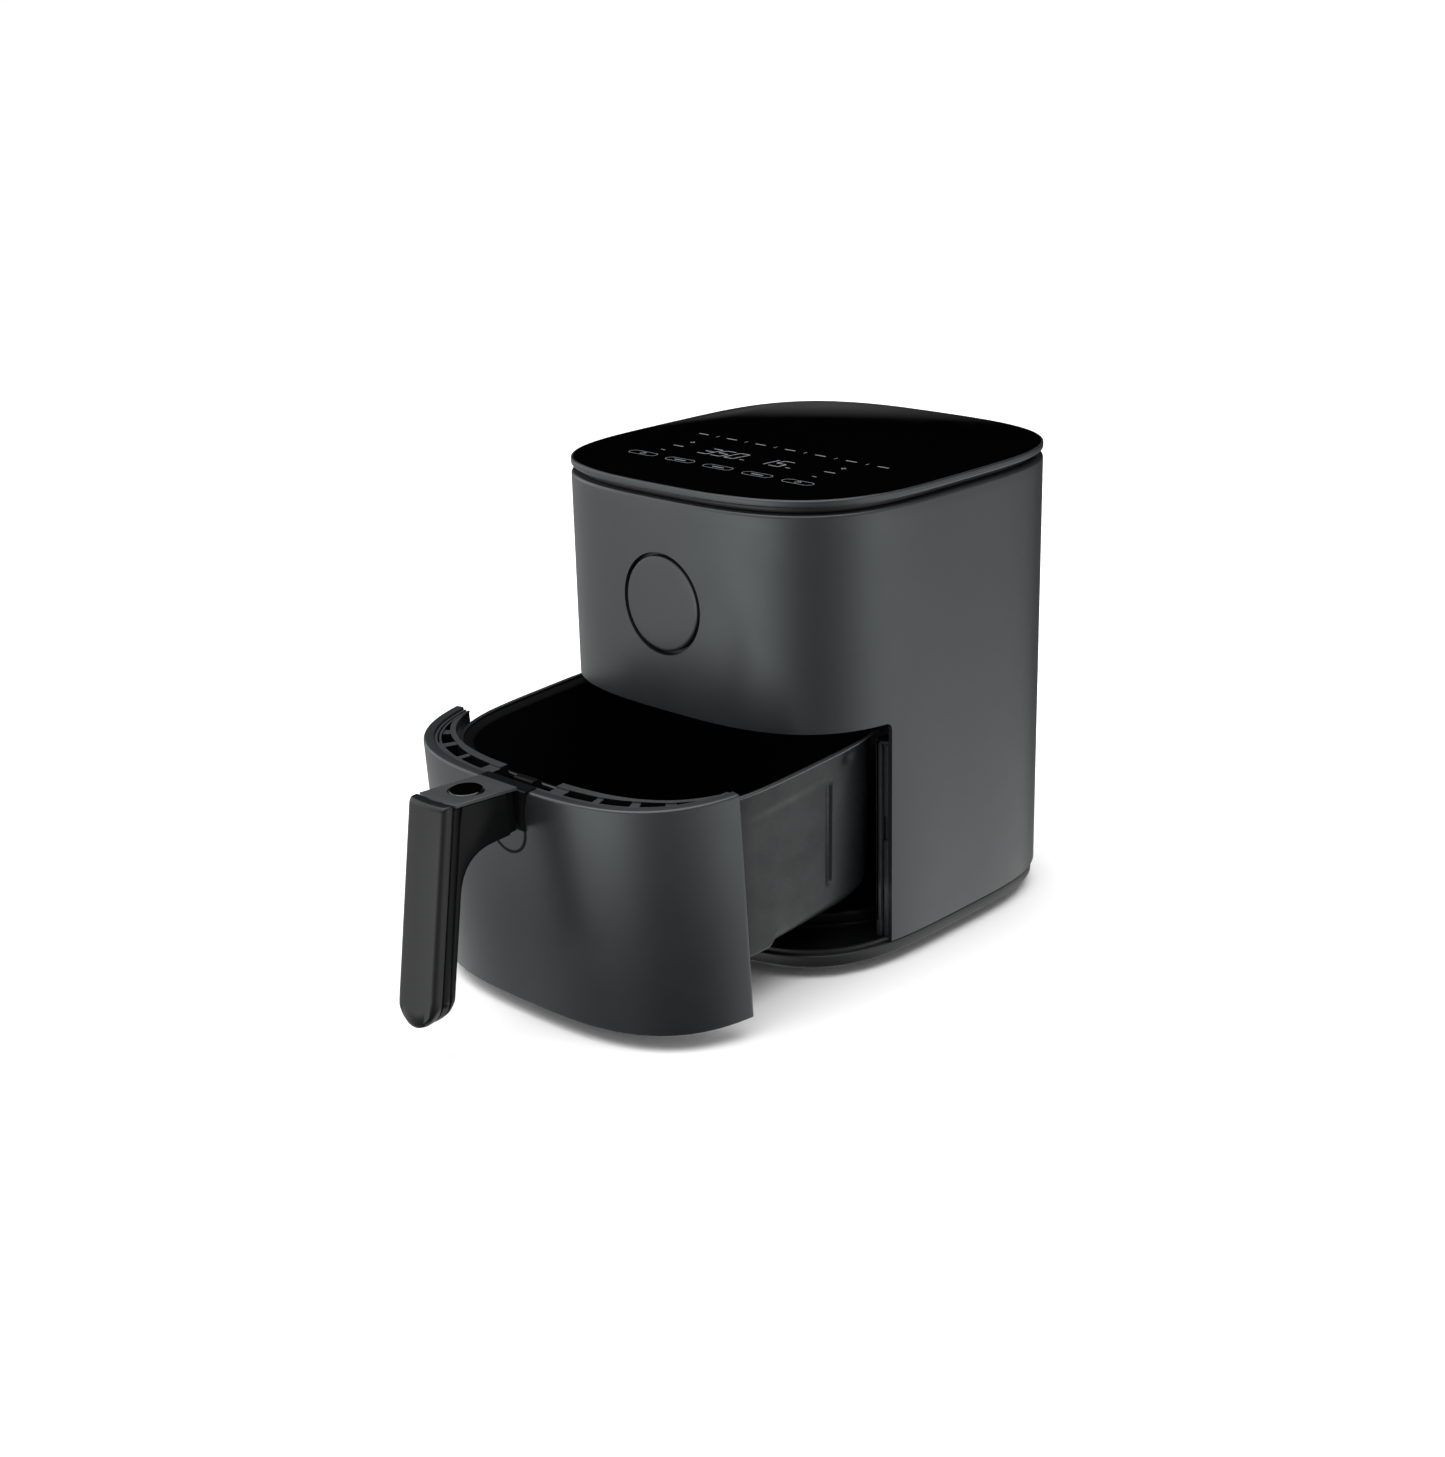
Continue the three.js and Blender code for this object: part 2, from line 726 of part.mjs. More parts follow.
function housing() {
  const group = new THREE.Group();
  piece(group, "outer_shell", slate(), outerShell());
  piece(group, "neck_ring", black(), neckRing());
  piece(group, "lid_frame", slate(), lidFrame());
  piece(group, "touch_panel", gloss(), touchPanel());
  piece(group, "control_board", board(), box(-80, 80, -90, -10, 284, 285.6));
  piece(group, "display_module", black(), box(-60, 60, -66, -34, 285.9, 296.5));
  const behindBadge = -HALF_DEPTH + SHELL_WALL + 1.7;
  const seat = barAlongY(0, BADGE_HEIGHT, BADGE_HOLE + 4, behindBadge, behindBadge + 1.8, 40);
  piece(group, "badge_seat", black(), seat);
  const disc = barAlongY(0, BADGE_HEIGHT, BADGE_RADIUS, -HALF_DEPTH - 2, behindBadge - PLAY, 48);
  piece(group, "badge_disc", slate(), disc.intersect(slab(0.1, 150, 290)));
  piece(group, "base_tray", black(), baseTray());
  piece(group, "cavity_floor", black(), cavityFloor());
  footPlaces().forEach(([x, y], i) => piece(group, `foot_${i + 1}`, rubber(), foot(x, y)));
  piece(group, "left_guide", black(), guide(-1));
  piece(group, "right_guide", black(), guide(1));
  piece(group, "cavity_liner", sheet(), cavityLiner());
  piece(group, "chamber_deck", sheet(), chamberDeck());
  piece(group, "hot_air_dome", sheet(), bowl(CHAMBER_RADIUS, CHAMBER_DECK + 1.5, 212, 6));
  piece(group, "heat_shield", sheet(), bowl(CHAMBER_RADIUS + 3, CHAMBER_DECK + 2.8, 220, 9));
  piece(group, "heating_element", steel(), heatingElement());
  piece(group, "element_guard", steel(), elementGuard());
  const sensor = turned(plate(2.5, 184, 208), 12, 0, 88);
  piece(group, "temperature_sensor", steel(), sensor);
  piece(group, "thermal_fuse", black(), box(66, 82, 20, 32, 220.4, 230));
  piece(group, "motor_bracket", steel(), motorBracket());
  piece(group, "fan_motor", steel(), turned(ring(3.6, MOTOR.radius, MOTOR.bottom, MOTOR.top)));
  piece(group, "power_board", board(), box(-62, 62, 46, 104, 236, 237.6));
  piece(group, "relay", black(), box(-50, -28, 60, 76, 238, 254));
  const capacitor = turned(plate(8, 238, 262), 20, -2, 74);
  piece(group, "capacitor", gloss(), capacitor);
  piece(group, "terminal_block", rubber(), box(22, 50, 84, 98, 238, 250));
  piece(group, "wire_harness", rubber(), wireHarness());
  piece(group, "rear_vent", black(), rearVent());
  piece(group, "cord_inlet", rubber(), cordInlet());
  piece(group, "interlock_switch", black(), interlockSwitch());
  piece(group, "interlock_plunger", rubber(), interlockPlunger());
  piece(group, "glide_bar", rubber(), glideBar());
  piece(group, "motor_shaft", steel(), turned(plate(3, 184, 274), 16));
  piece(group, "convection_fan", sheet(), fan(188, 14, 68, 7));
  piece(group, "cooling_fan", black(), fan(261, 9, 42, 7));
  return group;
}

function drawer() {
  const group = new THREE.Group();
  piece(group, "drawer_front", slate(), drawerFront());
  piece(group, "drawer_frame", black(), drawerFrame());
  piece(group, "pan", coated(), pan());
  piece(group, "handle_tongue", black(), handleTongue());
  piece(group, "handle_body", black(), handleBody());
  const seamStart = GRIP.seam + PLAY;
  const seam = gripLayer(seamStart, GRIP.layer - 2 * PLAY, armTop(ARM_END) - 3.5, 2);
  piece(group, "handle_seam", rubber(), seam);
  const coverStart = GRIP.seam + GRIP.layer;
  const cover = gripLayer(coverStart, GRIP.cover, armTop(ARM_END) - 2.6, 0);
  piece(group, "handle_cover", black(), cover);
  piece(group, "handle_top", black(), handleTop());
  SCREW.places.forEach((x, i) => piece(group, `handle_screw_${i + 1}`, steel(), handleScrew(x)));
  piece(group, "button_spring", steel(), buttonSpring());
  piece(group, "release_button", gloss(), releaseButton());
  piece(group, "pan_latch", gloss(), panLatch());
  piece(group, "crisper_plate", coated(), crisperPlate());
  bumperPlaces().forEach(([x, y], i) =>
    piece(group, `plate_bumper_${i + 1}`, rubber(), plateBumper(x, y)),
  );
  return group;
}

// The closed drawer slides out, then tips nose down about the glide bar.
function pulledOut(group) {
  const slide = new THREE.Group();
  slide.position.set(0, -DRAWER_OUT - GLIDE_Y, -GLIDE_Z);
  slide.add(group);
  const tip = new THREE.Group();
  tip.position.set(0, GLIDE_Y, GLIDE_Z);
  tip.rotation.x = DRAWER_TIP;
  tip.add(slide);
  return tip;
}

const airFryer = new THREE.Group();
airFryer.add(housing(), pulledOut(drawer()));
airFryer.position.y = CENTRE_SHIFT;

export default airFryer;
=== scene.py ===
"""The looks of a drawer air fryer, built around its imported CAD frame.

Shapes are drawn in millimetres in two spaces. HOUSING has its origin under the middle of the
casing. DRAWER is the same space as the closed drawer stands in it, carried to where the drawer
is now, pulled out and tipped.
"""

import json
import math

import bmesh
import bpy
import numpy as np
from mathutils import Matrix, Vector


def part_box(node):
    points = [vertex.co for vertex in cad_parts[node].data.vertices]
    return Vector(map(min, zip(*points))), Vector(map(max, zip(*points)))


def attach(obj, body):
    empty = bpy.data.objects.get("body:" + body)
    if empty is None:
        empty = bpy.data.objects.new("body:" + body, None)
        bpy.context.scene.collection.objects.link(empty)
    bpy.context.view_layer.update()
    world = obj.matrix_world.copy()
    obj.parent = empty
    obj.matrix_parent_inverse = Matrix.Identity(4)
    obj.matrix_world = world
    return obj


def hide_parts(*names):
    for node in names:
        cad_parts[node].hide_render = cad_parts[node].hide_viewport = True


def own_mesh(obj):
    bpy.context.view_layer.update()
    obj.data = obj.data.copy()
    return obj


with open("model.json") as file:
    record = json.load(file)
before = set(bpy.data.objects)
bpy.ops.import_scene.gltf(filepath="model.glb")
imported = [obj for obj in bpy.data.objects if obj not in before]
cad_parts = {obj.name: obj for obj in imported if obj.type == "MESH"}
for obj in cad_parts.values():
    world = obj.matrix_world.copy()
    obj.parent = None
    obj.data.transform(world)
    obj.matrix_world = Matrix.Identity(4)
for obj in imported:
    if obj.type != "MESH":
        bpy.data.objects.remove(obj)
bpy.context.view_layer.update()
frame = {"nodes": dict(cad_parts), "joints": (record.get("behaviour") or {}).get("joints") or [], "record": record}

# ---- Sizes, from the frame

MM = 0.001


def node_box(name):
    """Lowest and highest corner of a CAD node, in millimetres in the row frame."""
    low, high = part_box(name)
    return low / MM, high / MM


shell_low, shell_high = node_box("outer_shell")
HALF_WIDTH = (shell_high.x - shell_low.x) / 2
HALF_DEPTH = (shell_high.y - shell_low.y) / 2
CENTRE_Y = (shell_high.y + shell_low.y) / 2
SHELL_BOTTOM = shell_low.z
SHELL_TOP = shell_high.z
SHELL_WALL = 3.0

# The casing's plan is |x / a|^p + |y / b|^q = 1.
POWER_X = 2.97
POWER_Y = 3.81

OPENING_TOP = 160.6
OPENING_FRONT = -66.0  # the casing's front edges stand here
OPENING_CORNER = 4.5
SHELL_ROUND = 2.2
LID_BOTTOM = node_box("lid_frame")[0].z
TOP = node_box("touch_panel")[1].z
GLASS_INSET = 1.5
GLASS_TOP = TOP - 0.05
BASE_BOTTOM = node_box("base_tray")[0].z
BASE_TOP = node_box("base_tray")[1].z

# Each round hole lies in a square of wall, given by half its side.
BADGE_Z = 228.2
BADGE_RADIUS = 29.6
BADGE_HOLE = 32.0
BADGE_SQUARE = 40.0
CORD_X = 36.0
CORD_Z = 38.0
CORD_HOLE = 8.2
CORD_SQUARE = 14.0
VENT_HALF = 44.0
VENT_FLOOR = 190.0
VENT_CEILING = 250.0

joints = {joint["name"]: joint for joint in frame["joints"]}
slide = joints["drawer_slide"]
pivot = Vector(joints["drawer_tip"]["pos_m"])
DRAWER_OUT = -slide["range_m"][0]
DRAWER_TIP = math.atan2(-slide["axis"][2], -slide["axis"][1])

HOUSING = Matrix.Translation((0, CENTRE_Y * MM, 0)) @ Matrix.Scale(MM, 4)
DRAWER = (
    Matrix.Translation(pivot)
    @ Matrix.Rotation(DRAWER_TIP, 4, "X")
    @ Matrix.Translation(-pivot)
    @ Matrix.Translation((0, -DRAWER_OUT, 0))
    @ HOUSING
)

FRONT_BOTTOM = 18.0
FRONT_TOP = 159.4
FRONT_BACK = -67.5
LIP_WIDTH = 6.5
FRAME_TOP = 157.9
FRAME_BOTTOM = 44.0
# Where the frame's pockets start and end on one side, along the front from its middle.
POCKETS = ((36, 59), (64, 86), (93, 112), (120, 134))
LATCH_NOTCH = 25.0

PAN_HALF_WIDTH = 116.0
PAN_HALF_DEPTH = 110.0
RIM_TOP = 151.6
PAN_BOTTOM = 40.0
WALL_INSET = 7.2
WALL_LEAN = 0.06
PLATE_HALF = 92.0
PLATE_Z = 54.0
PLATE_THICK = 2.4
BUMPERS = [(x, y) for y in (-58, 58) for x in (-66, 66)]
BUMPER_RADIUS = 5.0

HANDLE_HALF = 16.0
ARM_ROOT = -139.4
ARM_END = -192.0
ARM_TOP_ROOT = 163.0
ARM_TOP_END = 168.5
ARM_UNDERSIDE = 135.5
ARM_BEND = 22.0
BUTTON_Y = -163.0
BUTTON_RADIUS = 10.0
GRIP_BOTTOM = 38.0
GRIP_LEAN = 0.21
GRIP_BACK = -175.0
# How far ahead of the grip's back face its layers meet.
ARM_LAYER = 4.4
SEAM_START = 9.7
COVER_START = 10.6
COVER_END = 18.6

# ---- Camera

CAMERA_PLACE = Vector((0.89961, CENTRE_Y * MM - 1.02467, 0.59224))
CAMERA_AZIMUTH = math.radians(43.756)
CAMERA_ELEVATION = math.radians(19.376)
CAMERA_ROLL = math.radians(-1.48)
CAMERA_LENS = 53.78


def add_camera():
    a, e, r = CAMERA_AZIMUTH, CAMERA_ELEVATION, CAMERA_ROLL
    right = Vector((math.cos(a), math.sin(a), 0))
    back = Vector((math.sin(a) * math.cos(e), -math.cos(a) * math.cos(e), math.sin(e)))
    up = back.cross(right)
    x = math.cos(r) * right + math.sin(r) * up
    y = -math.sin(r) * right + math.cos(r) * up
    data = bpy.data.cameras.new("camera")
    data.lens = CAMERA_LENS
    data.clip_start = 0.01
    data.clip_end = 60
    camera = bpy.data.objects.new("camera", data)
    turn = Matrix((x, y, back)).transposed().to_4x4()
    camera.matrix_world = Matrix.Translation(CAMERA_PLACE) @ turn
    bpy.context.scene.collection.objects.link(camera)
    bpy.context.scene.camera = camera


add_camera()

# ---- Materials

NOISE_SPREAD = (0.3, 0.7)  # most of a noise lies between these values


class Nodes:
    """A node tree, with two shorthands."""

    def __init__(self, tree):
        self.tree = tree

    def node(self, kind, inputs=None, **settings):
        """A new node with these settings, and these values on its inputs."""
        made = self.tree.nodes.new(kind)
        for key, value in settings.items():
            setattr(made, key, value)
        for key, value in (inputs or {}).items():
            made.inputs[key].default_value = value
        return made

    def link(self, source, target):
        self.tree.links.new(source, target)


class Recipe(Nodes):
    """A material's node tree around one Principled shader."""

    def __init__(self, name, color, roughness, metallic=0.0, shine=0.5):
        self.material = bpy.data.materials.new(name)
        self.material.use_nodes = True
        super().__init__(self.material.node_tree)
        self.shader = self.tree.nodes["Principled BSDF"]
        self.color = color
        self.roughness = roughness
        self.set(Base_Color=(*color, 1), Roughness=roughness, Metallic=metallic)
        self.set(Specular_IOR_Level=shine)
        self.place = self.node("ShaderNodeTexCoord").outputs["Object"]
        self.last_bump = None

    def set(self, **values):
        for key, value in values.items():
            self.shader.inputs[key.replace("_", " ")].default_value = value

    def feed(self, source, name):
        self.link(source, self.shader.inputs[name])

    def noise(self, size_mm, detail=3.0, stretch=None):
        """A noise of about that grain size, as a value from 0 to 1."""
        place = self.place
        if stretch:
            mapping = self.node("ShaderNodeMapping", {"Scale": stretch})
            self.link(self.place, mapping.inputs["Vector"])
            place = mapping.outputs["Vector"]
        texture = self.node("ShaderNodeTexNoise", {"Scale": 1 / (size_mm * MM), "Detail": detail})
        self.link(place, texture.inputs["Vector"])
        return texture.outputs["Fac"]

    def spread(self, value, start, end, low=0.0, high=1.0):
        """The value, from start to end, spread to low and high."""
        ends = {"From Min": start, "From Max": end, "To Min": low, "To Max": high}
        spread = self.node("ShaderNodeMapRange", ends)
        self.link(value, spread.inputs["Value"])
        return spread.outputs["Result"]

    def blend(self, share, first, second):
        """Colours the surface from one colour to another."""
        ends = {"A": (*first, 1), "B": (*second, 1)}
        mix = self.node("ShaderNodeMix", ends, data_type="RGBA")
        self.link(share, mix.inputs["Factor"])
        self.feed(mix.outputs["Result"], "Base Color")

    def mottle(self, value, share):
        """Lets the colour drift darker and lighter by a share."""
        darker = [c * (1 - share) for c in self.color]
        lighter = [c * (1 + share) for c in self.color]
        self.blend(self.spread(value, *NOISE_SPREAD), darker, lighter)

    def vary_roughness(self, value, share):
        low, high = self.roughness * (1 - share), self.roughness * (1 + share)
        self.feed(self.spread(value, *NOISE_SPREAD, low, high), "Roughness")

    def bump(self, value, depth_mm):
        bump = self.node("ShaderNodeBump", {"Distance": depth_mm * MM})
        self.link(value, bump.inputs["Height"])
        if self.last_bump is not None:
            self.link(self.last_bump, bump.inputs["Normal"])
        self.last_bump = bump.outputs["Normal"]
        self.feed(self.last_bump, "Normal")


def moulded(name, color, roughness, grain_mm=0.5, grain_depth=0.004, share=0.05, shine=0.5):
    """Satin moulded plastic: a fine spark-eroded grain and a slow drift of tone."""
    recipe = Recipe(name, color, roughness, 0.0, shine)
    recipe.mottle(recipe.noise(60, 2.0), share)
    recipe.vary_roughness(recipe.noise(25, 4.0), 0.06)
    recipe.bump(recipe.noise(grain_mm, 2.0), grain_depth)
    recipe.bump(recipe.noise(35, 1.0), 0.01)
    return recipe


def finished(name, color, roughness, metallic, shine, tone, gloss, grain):
    """A coat or a metal. The last three give how much, and then the noise's size and detail."""
    recipe = Recipe(name, color, roughness, metallic, shine)
    recipe.mottle(recipe.noise(*tone[1:]), tone[0])
    recipe.vary_roughness(recipe.noise(*gloss[1:]), gloss[0])
    recipe.bump(recipe.noise(*grain[1:]), grain[0])
    return recipe


def coated_metal():
    """Non-stick coating: sprayed, with an orange-peel skin and fine pale flecks."""
    recipe = Recipe("coated_metal", (0.0080, 0.0088, 0.0102), 0.44, shine=0.25)
    flecks = recipe.spread(recipe.noise(0.55, 1.0), 0.68, 0.78)
    recipe.blend(flecks, recipe.color, (0.05, 0.053, 0.06))
    recipe.vary_roughness(recipe.noise(14, 4.0), 0.12)
    recipe.bump(recipe.noise(1.6, 3.0), 0.03)
    return recipe


def circuit_board():
    recipe = Recipe("circuit_board", (0.015, 0.10, 0.045), 0.35)
    colors = {"Color1": (0.012, 0.085, 0.038, 1), "Color2": (0.02, 0.12, 0.05, 1)}
    colors["Mortar"] = (0.03, 0.17, 0.07, 1)
    tracks = recipe.node("ShaderNodeTexBrick", {"Scale": 160, **colors})
    recipe.link(recipe.place, tracks.inputs["Vector"])
    recipe.feed(tracks.outputs["Color"], "Base Color")
    recipe.vary_roughness(recipe.noise(6, 3.0), 0.2)
    return recipe


def printed_marks():
    """Pale print under the glass, dimly lit from behind."""
    recipe = Recipe("printed_marks", (0.15, 0.156, 0.162), 0.5)
    recipe.mottle(recipe.noise(4, 2.0), 0.1)
    recipe.set(Emission_Color=(0.8, 0.86, 0.9, 1), Emission_Strength=0.05)
    return recipe


# Colour and roughness, and where they differ from the usual the grain in mm and its depth, the
# drift of tone and the shine.
PLASTICS = {
    "slate_plastic": ((0.0130, 0.0137, 0.0156), 0.34),
    "black_plastic": ((0.010, 0.0105, 0.0115), 0.42, 0.5, 0.004, 0.05, 0.3),
    # handle_plastic also darkens the frame's pockets and its walls below the top, as painted shade.
    "handle_plastic": ((0.0036, 0.0038, 0.0041), 0.30, 0.5, 0.004, 0.05, 0.07),
    "cover_plastic": ((0.006, 0.0063, 0.0067), 0.30, 0.5, 0.004, 0.05, 0.22),
    "arm_plastic": ((0.033, 0.0345, 0.036), 0.36, 0.5, 0.004, 0.05, 0.4),
    "frame_plastic": ((0.023, 0.0245, 0.026), 0.38, 0.8, 0.01, 0.05, 0.4),
    "rubber": ((0.009, 0.009, 0.0095), 0.75, 0.7, 0.02, 0.1),
    "nylon": ((0.55, 0.55, 0.50), 0.45, 0.8, 0.01),
}
# Colour, roughness, metallic and shine, and the drifts of tone and roughness and the grain.
# The second finish below is the pan's rolled rim, thin, glossier than the rest for a real highlight
# from the lamps and a touch lighter in colour, which is painted highlight. The third is its inside,
# more matt and a deeper black than the rest, which is painted shade inside the pan.
GLOSS_DRIFT = (0.1, 40, 2.0)
ROLLED = (1.2, 4.0, (1, 1, 14))
BRUSHED = (0.6, 3.0, (1, 6, 1))
FINISHES = (
    ("gloss_black", (0.0006, 0.0006, 0.0007), 0.05, 0, 0.5, GLOSS_DRIFT, (0.35, 18, 5.0), (0.004, 50, 1.0)),
    ("rim_highlight_coating", (0.012, 0.013, 0.0145), 0.24, 0, 0.5, GLOSS_DRIFT, (0.2, 9, 4.0), (0.006, 1.6, 3.0)),
    ("painted_shade_coating", (0.0022, 0.0023, 0.0025), 0.6, 0, 0.03, GLOSS_DRIFT, (0.1, 14, 4.0), (0.01, 1.6, 3.0)),
    ("sheet_metal", (0.50, 0.51, 0.52), 0.34, 1, 0.5, (0.08, 30, 3.0), (0.25, *ROLLED), (0.004, *ROLLED)),
    ("steel", (0.36, 0.36, 0.37), 0.30, 1, 0.5, (0.15, 12, 4.0), (0.3, 3, 4.0), (0.004, *BRUSHED)),
)
RECIPES = {name: moulded(name, *look) for name, look in PLASTICS.items()}
RECIPES |= {look[0]: finished(*look) for look in FINISHES}
RECIPES |= {made.__name__: made() for made in (coated_metal, circuit_board, printed_marks)}
RECIPES["slate_plastic"].set(Specular_Tint=(0.92, 1.0, 0.995, 1))
RECIPES["nylon"].set(Subsurface_Weight=0.1, Subsurface_Scale=0.001)
MATERIALS = {name: recipe.material for name, recipe in RECIPES.items()}

# The slot of each material that isn't named after its slot.
BLACKS = ("handle_plastic", "cover_plastic", "arm_plastic", "frame_plastic")
SLOTS = {"printed_marks": None, **dict.fromkeys(BLACKS, "black_plastic")}

# ---- Plan of the casing


def stations(start, end, count):
    return [start + (end - start) * i / count for i in range(count + 1)]


class Plan:
    """A superellipse measured along its length, from the middle of the front.

    Lengths to the right of it are positive and to the left negative.
    """

    def __init__(self, half_x, half_y, samples=6000):
        self.half_x = half_x
        self.half_y = half_y
        angle = np.linspace(0, math.pi, samples) - math.pi / 2
        cos, sin = np.maximum(np.cos(angle), 0), np.sin(angle)
        self.x = half_x * cos ** (2 / POWER_X)
        self.y = half_y * np.sign(sin) * np.abs(sin) ** (2 / POWER_Y)
        steps = np.hypot(np.diff(self.x), np.diff(self.y))
        self.s = np.concatenate(([0], np.cumsum(steps)))
        self.half = self.s[-1]

    def at(self, s):
        """Place on the outline and the outward normal: x, y, nx, ny."""
        along = (s + self.half) % (2 * self.half) - self.half
        side = -1 if along < 0 else 1
        x = side * np.interp(abs(along), self.s, self.x)
        y = np.interp(abs(along), self.s, self.y)
        nx = POWER_X / self.half_x * abs(x / self.half_x) ** (POWER_X - 1) * side
        ny = POWER_Y / self.half_y * abs(y / self.half_y) ** (POWER_Y - 1) * np.sign(y)
        size = math.hypot(nx, ny)
        return x, y, nx / size, ny / size

    def point(self, s, inset, z):
        x, y, nx, ny = self.at(s)
        return Vector((x - nx * inset, y - ny * inset, z))

    def s_at_y(self, y):
        """How far along the right half the outline reaches this depth."""
        return float(np.interp(y, self.y, self.s))

    def s_at_x(self, x, back=False):
        half = len(self.x) // 2
        if back:
            return float(np.interp(x, self.x[half:][::-1], self.s[half:][::-1]))
        return float(np.interp(x, self.x[:half], self.s[:half]))

    def places(self, count):
        """Places all round, evenly spaced."""
        return stations(-self.half, self.half, count)[:-1]

    def depth(self, x, back=False):
        """The y of the outline's front, or of its back, at this x."""
        return self.point(self.s_at_x(abs(x), back), 0, 0).y


casing = Plan(HALF_WIDTH, HALF_DEPTH)
pan_plan = Plan(PAN_HALF_WIDTH, PAN_HALF_DEPTH)

# ---- Mesh tools


def arc(centre, radius, start, end, steps):
    """Points on an arc, with the angles in degrees."""
    points = []
    for i in range(steps + 1):
        angle = math.radians(start + (end - start) * i / steps)
        points.append((centre[0] + radius * math.cos(angle), centre[1] + radius * math.sin(angle)))
    return points


def rounded(corners, steps=4):
    """An outline of (u, v, radius) corners with each corner rounded."""
    outline = []
    count = len(corners)
    for i, (u, v, radius) in enumerate(corners):
        here = Vector((u, v))
        if radius <= 0:
            outline.append((u, v))
            continue
        before = (Vector(corners[i - 1][:2]) - here).normalized()
        after = (Vector(corners[(i + 1) % count][:2]) - here).normalized()
        half = before.angle(after) / 2
        reach = radius / math.tan(half)
        centre = here + (before + after).normalized() * radius / math.sin(half)
        first = here + before * reach - centre
        last = here + after * reach - centre
        turn = first.angle(last)
        for k in range(steps + 1):
            t = k / steps
            spoke = first * math.sin((1 - t) * turn) + last * math.sin(t * turn)
            point = centre + spoke / math.sin(turn)
            outline.append((point.x, point.y))
    return outline


def shrunk(outline, amount):
    """A closed outline moved inwards, whichever way it runs."""
    area = 0.0
    count = len(outline)
    for i, (u, v) in enumerate(outline):
        nu, nv = outline[(i + 1) % count]
        area += u * nv - nu * v
    side = 1 if area > 0 else -1
    moved = []
    for i, (u, v) in enumerate(outline):
        pu, pv = outline[i - 1]
        nu, nv = outline[(i + 1) % count]
        before = Vector((u - pu, v - pv))
        after = Vector((nu - u, nv - v))
        if before.length < 1e-9 or after.length < 1e-9:
            before = after = Vector((nu - pu, nv - pv))
        normal = Vector((-before.y, before.x)).normalized() + Vector((-after.y, after.x)).normalized()
        stretch = 2 / max(normal.length_squared, 0.8)
        moved.append((u + side * normal.x * amount * stretch, v + side * normal.y * amount * stretch))
    return moved


def skin(sections, ring=False):
    """Joins closed loops of points into a mesh: a ring of them, or a row closed at both ends."""
    mesh = bmesh.new()
    rows = [[mesh.verts.new(point) for point in section] for section in sections]
    followers = rows[1:] + rows[:1] if ring else rows[1:]
    for row, following in zip(rows, followers):
        for i in range(len(row)):
            j = (i + 1) % len(row)
            mesh.faces.new((row[i], row[j], following[j], following[i]))
    if not ring:
        mesh.faces.new(rows[0])
        mesh.faces.new(rows[-1])
    return mesh


def clean(mesh, distance=0.002):
    """Merges points that lie together, in millimetres, and turns the faces outwards."""
    bmesh.ops.remove_doubles(mesh, verts=mesh.verts, dist=distance)
    bmesh.ops.dissolve_degenerate(mesh, edges=mesh.edges, dist=distance)
    bmesh.ops.recalc_face_normals(mesh, faces=mesh.faces)


def build(name, mesh, material, replaces=(), body="housing", slot=None, sharp=32, space=None):
    """Makes the object, shades it smooth between sharp edges and lets it ride on its body.

    The mesh is drawn in the housing's space for the housing, and in the drawer's for the rest.
    """
    clean(mesh)
    for face in mesh.faces:
        face.smooth = True
    limit = math.radians(sharp)
    for edge in mesh.edges:
        if len(edge.link_faces) == 2 and edge.calc_face_angle(0) > limit:
            edge.smooth = False
    if space is None:
        space = HOUSING if body == "housing" else DRAWER
    mesh.transform(space)
    data = bpy.data.meshes.new(name)
    mesh.to_mesh(data)
    mesh.free()
    data.materials.append(MATERIALS[material])
    piece = bpy.data.objects.new(name, data)
    bpy.context.scene.collection.objects.link(piece)
    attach(piece, body)
    slot = slot or SLOTS.get(material, material)
    if replaces:
        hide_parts(*replaces)
    return piece


def bevelled(piece, width_mm, segments=3, angle=40):
    """Rounds the piece's edges and keeps its flat faces flat."""
    bevel = piece.modifiers.new("bevel", "BEVEL")
    bevel.width = width_mm * MM
    bevel.segments = segments
    bevel.limit_method = "ANGLE"
    bevel.angle_limit = math.radians(angle)
    bevel.harden_normals = True
    for edge in piece.data.edges:
        edge.use_edge_sharp = False


def all_round(plan, profile):
    """A closed profile of (inset, z) carried right round the plan."""
    return skin([[plan.point(s, *p) for p in profile] for s in plan.places(240)], ring=True)


def along_plan(plan, profile, start, end, count=120, end_round=0.6):
    """A closed profile of (inset, z) carried along part of the plan, with rounded ends."""
    middle = stations(start + end_round, end - end_round, count)
    sections = [[plan.point(s, *p) for p in profile] for s in middle]
    for degrees in (60, 30, 0):
        swing = math.radians(degrees)
        outline = shrunk(profile, end_round * (1 - math.sin(swing)))
        past = end_round * (1 - math.cos(swing))
        sections.insert(0, [plan.point(start + past, *p) for p in outline])
        sections.append([plan.point(end - past, *p) for p in outline])
    return skin(sections)


def turned(profile, steps):
    """A closed profile of (radius, z) turned about the upright axis."""
    sections = []
    for i in range(steps):
        angle = 2 * math.pi * i / steps
        cos, sin = math.cos(angle), math.sin(angle)
        sections.append([Vector((r * cos, r * sin, z)) for r, z in profile])
    return skin(sections, ring=True)


def circle(centre, radius, z, steps):
    turns = [2 * math.pi * i / steps for i in range(steps)]
    x, y = centre
    return [Vector((x + radius * math.cos(t), y + radius * math.sin(t), z)) for t in turns]


def stacked(profile, centre, steps):
    """Circles of (radius, z) one after another, closed by a flat face at each end."""
    return skin([circle(centre, radius, z, steps) for radius, z in profile])


def stacked_plan(plan, profile):
    """The same, with the plan's outline in place of the circle and (inset, z) pairs."""
    return skin([[plan.point(s, inset, z) for s in plan.places(240)] for inset, z in profile])


def prism(outline, start, end, axis="z"):
    """An outline carried from start to end along an axis, with flat ends."""
    placed = {"x": lambda u, v, w: Vector((w, u, v)), "z": lambda u, v, w: Vector((u, v, w))}
    return skin([[placed[axis](u, v, w) for u, v in outline] for w in (start, end)])


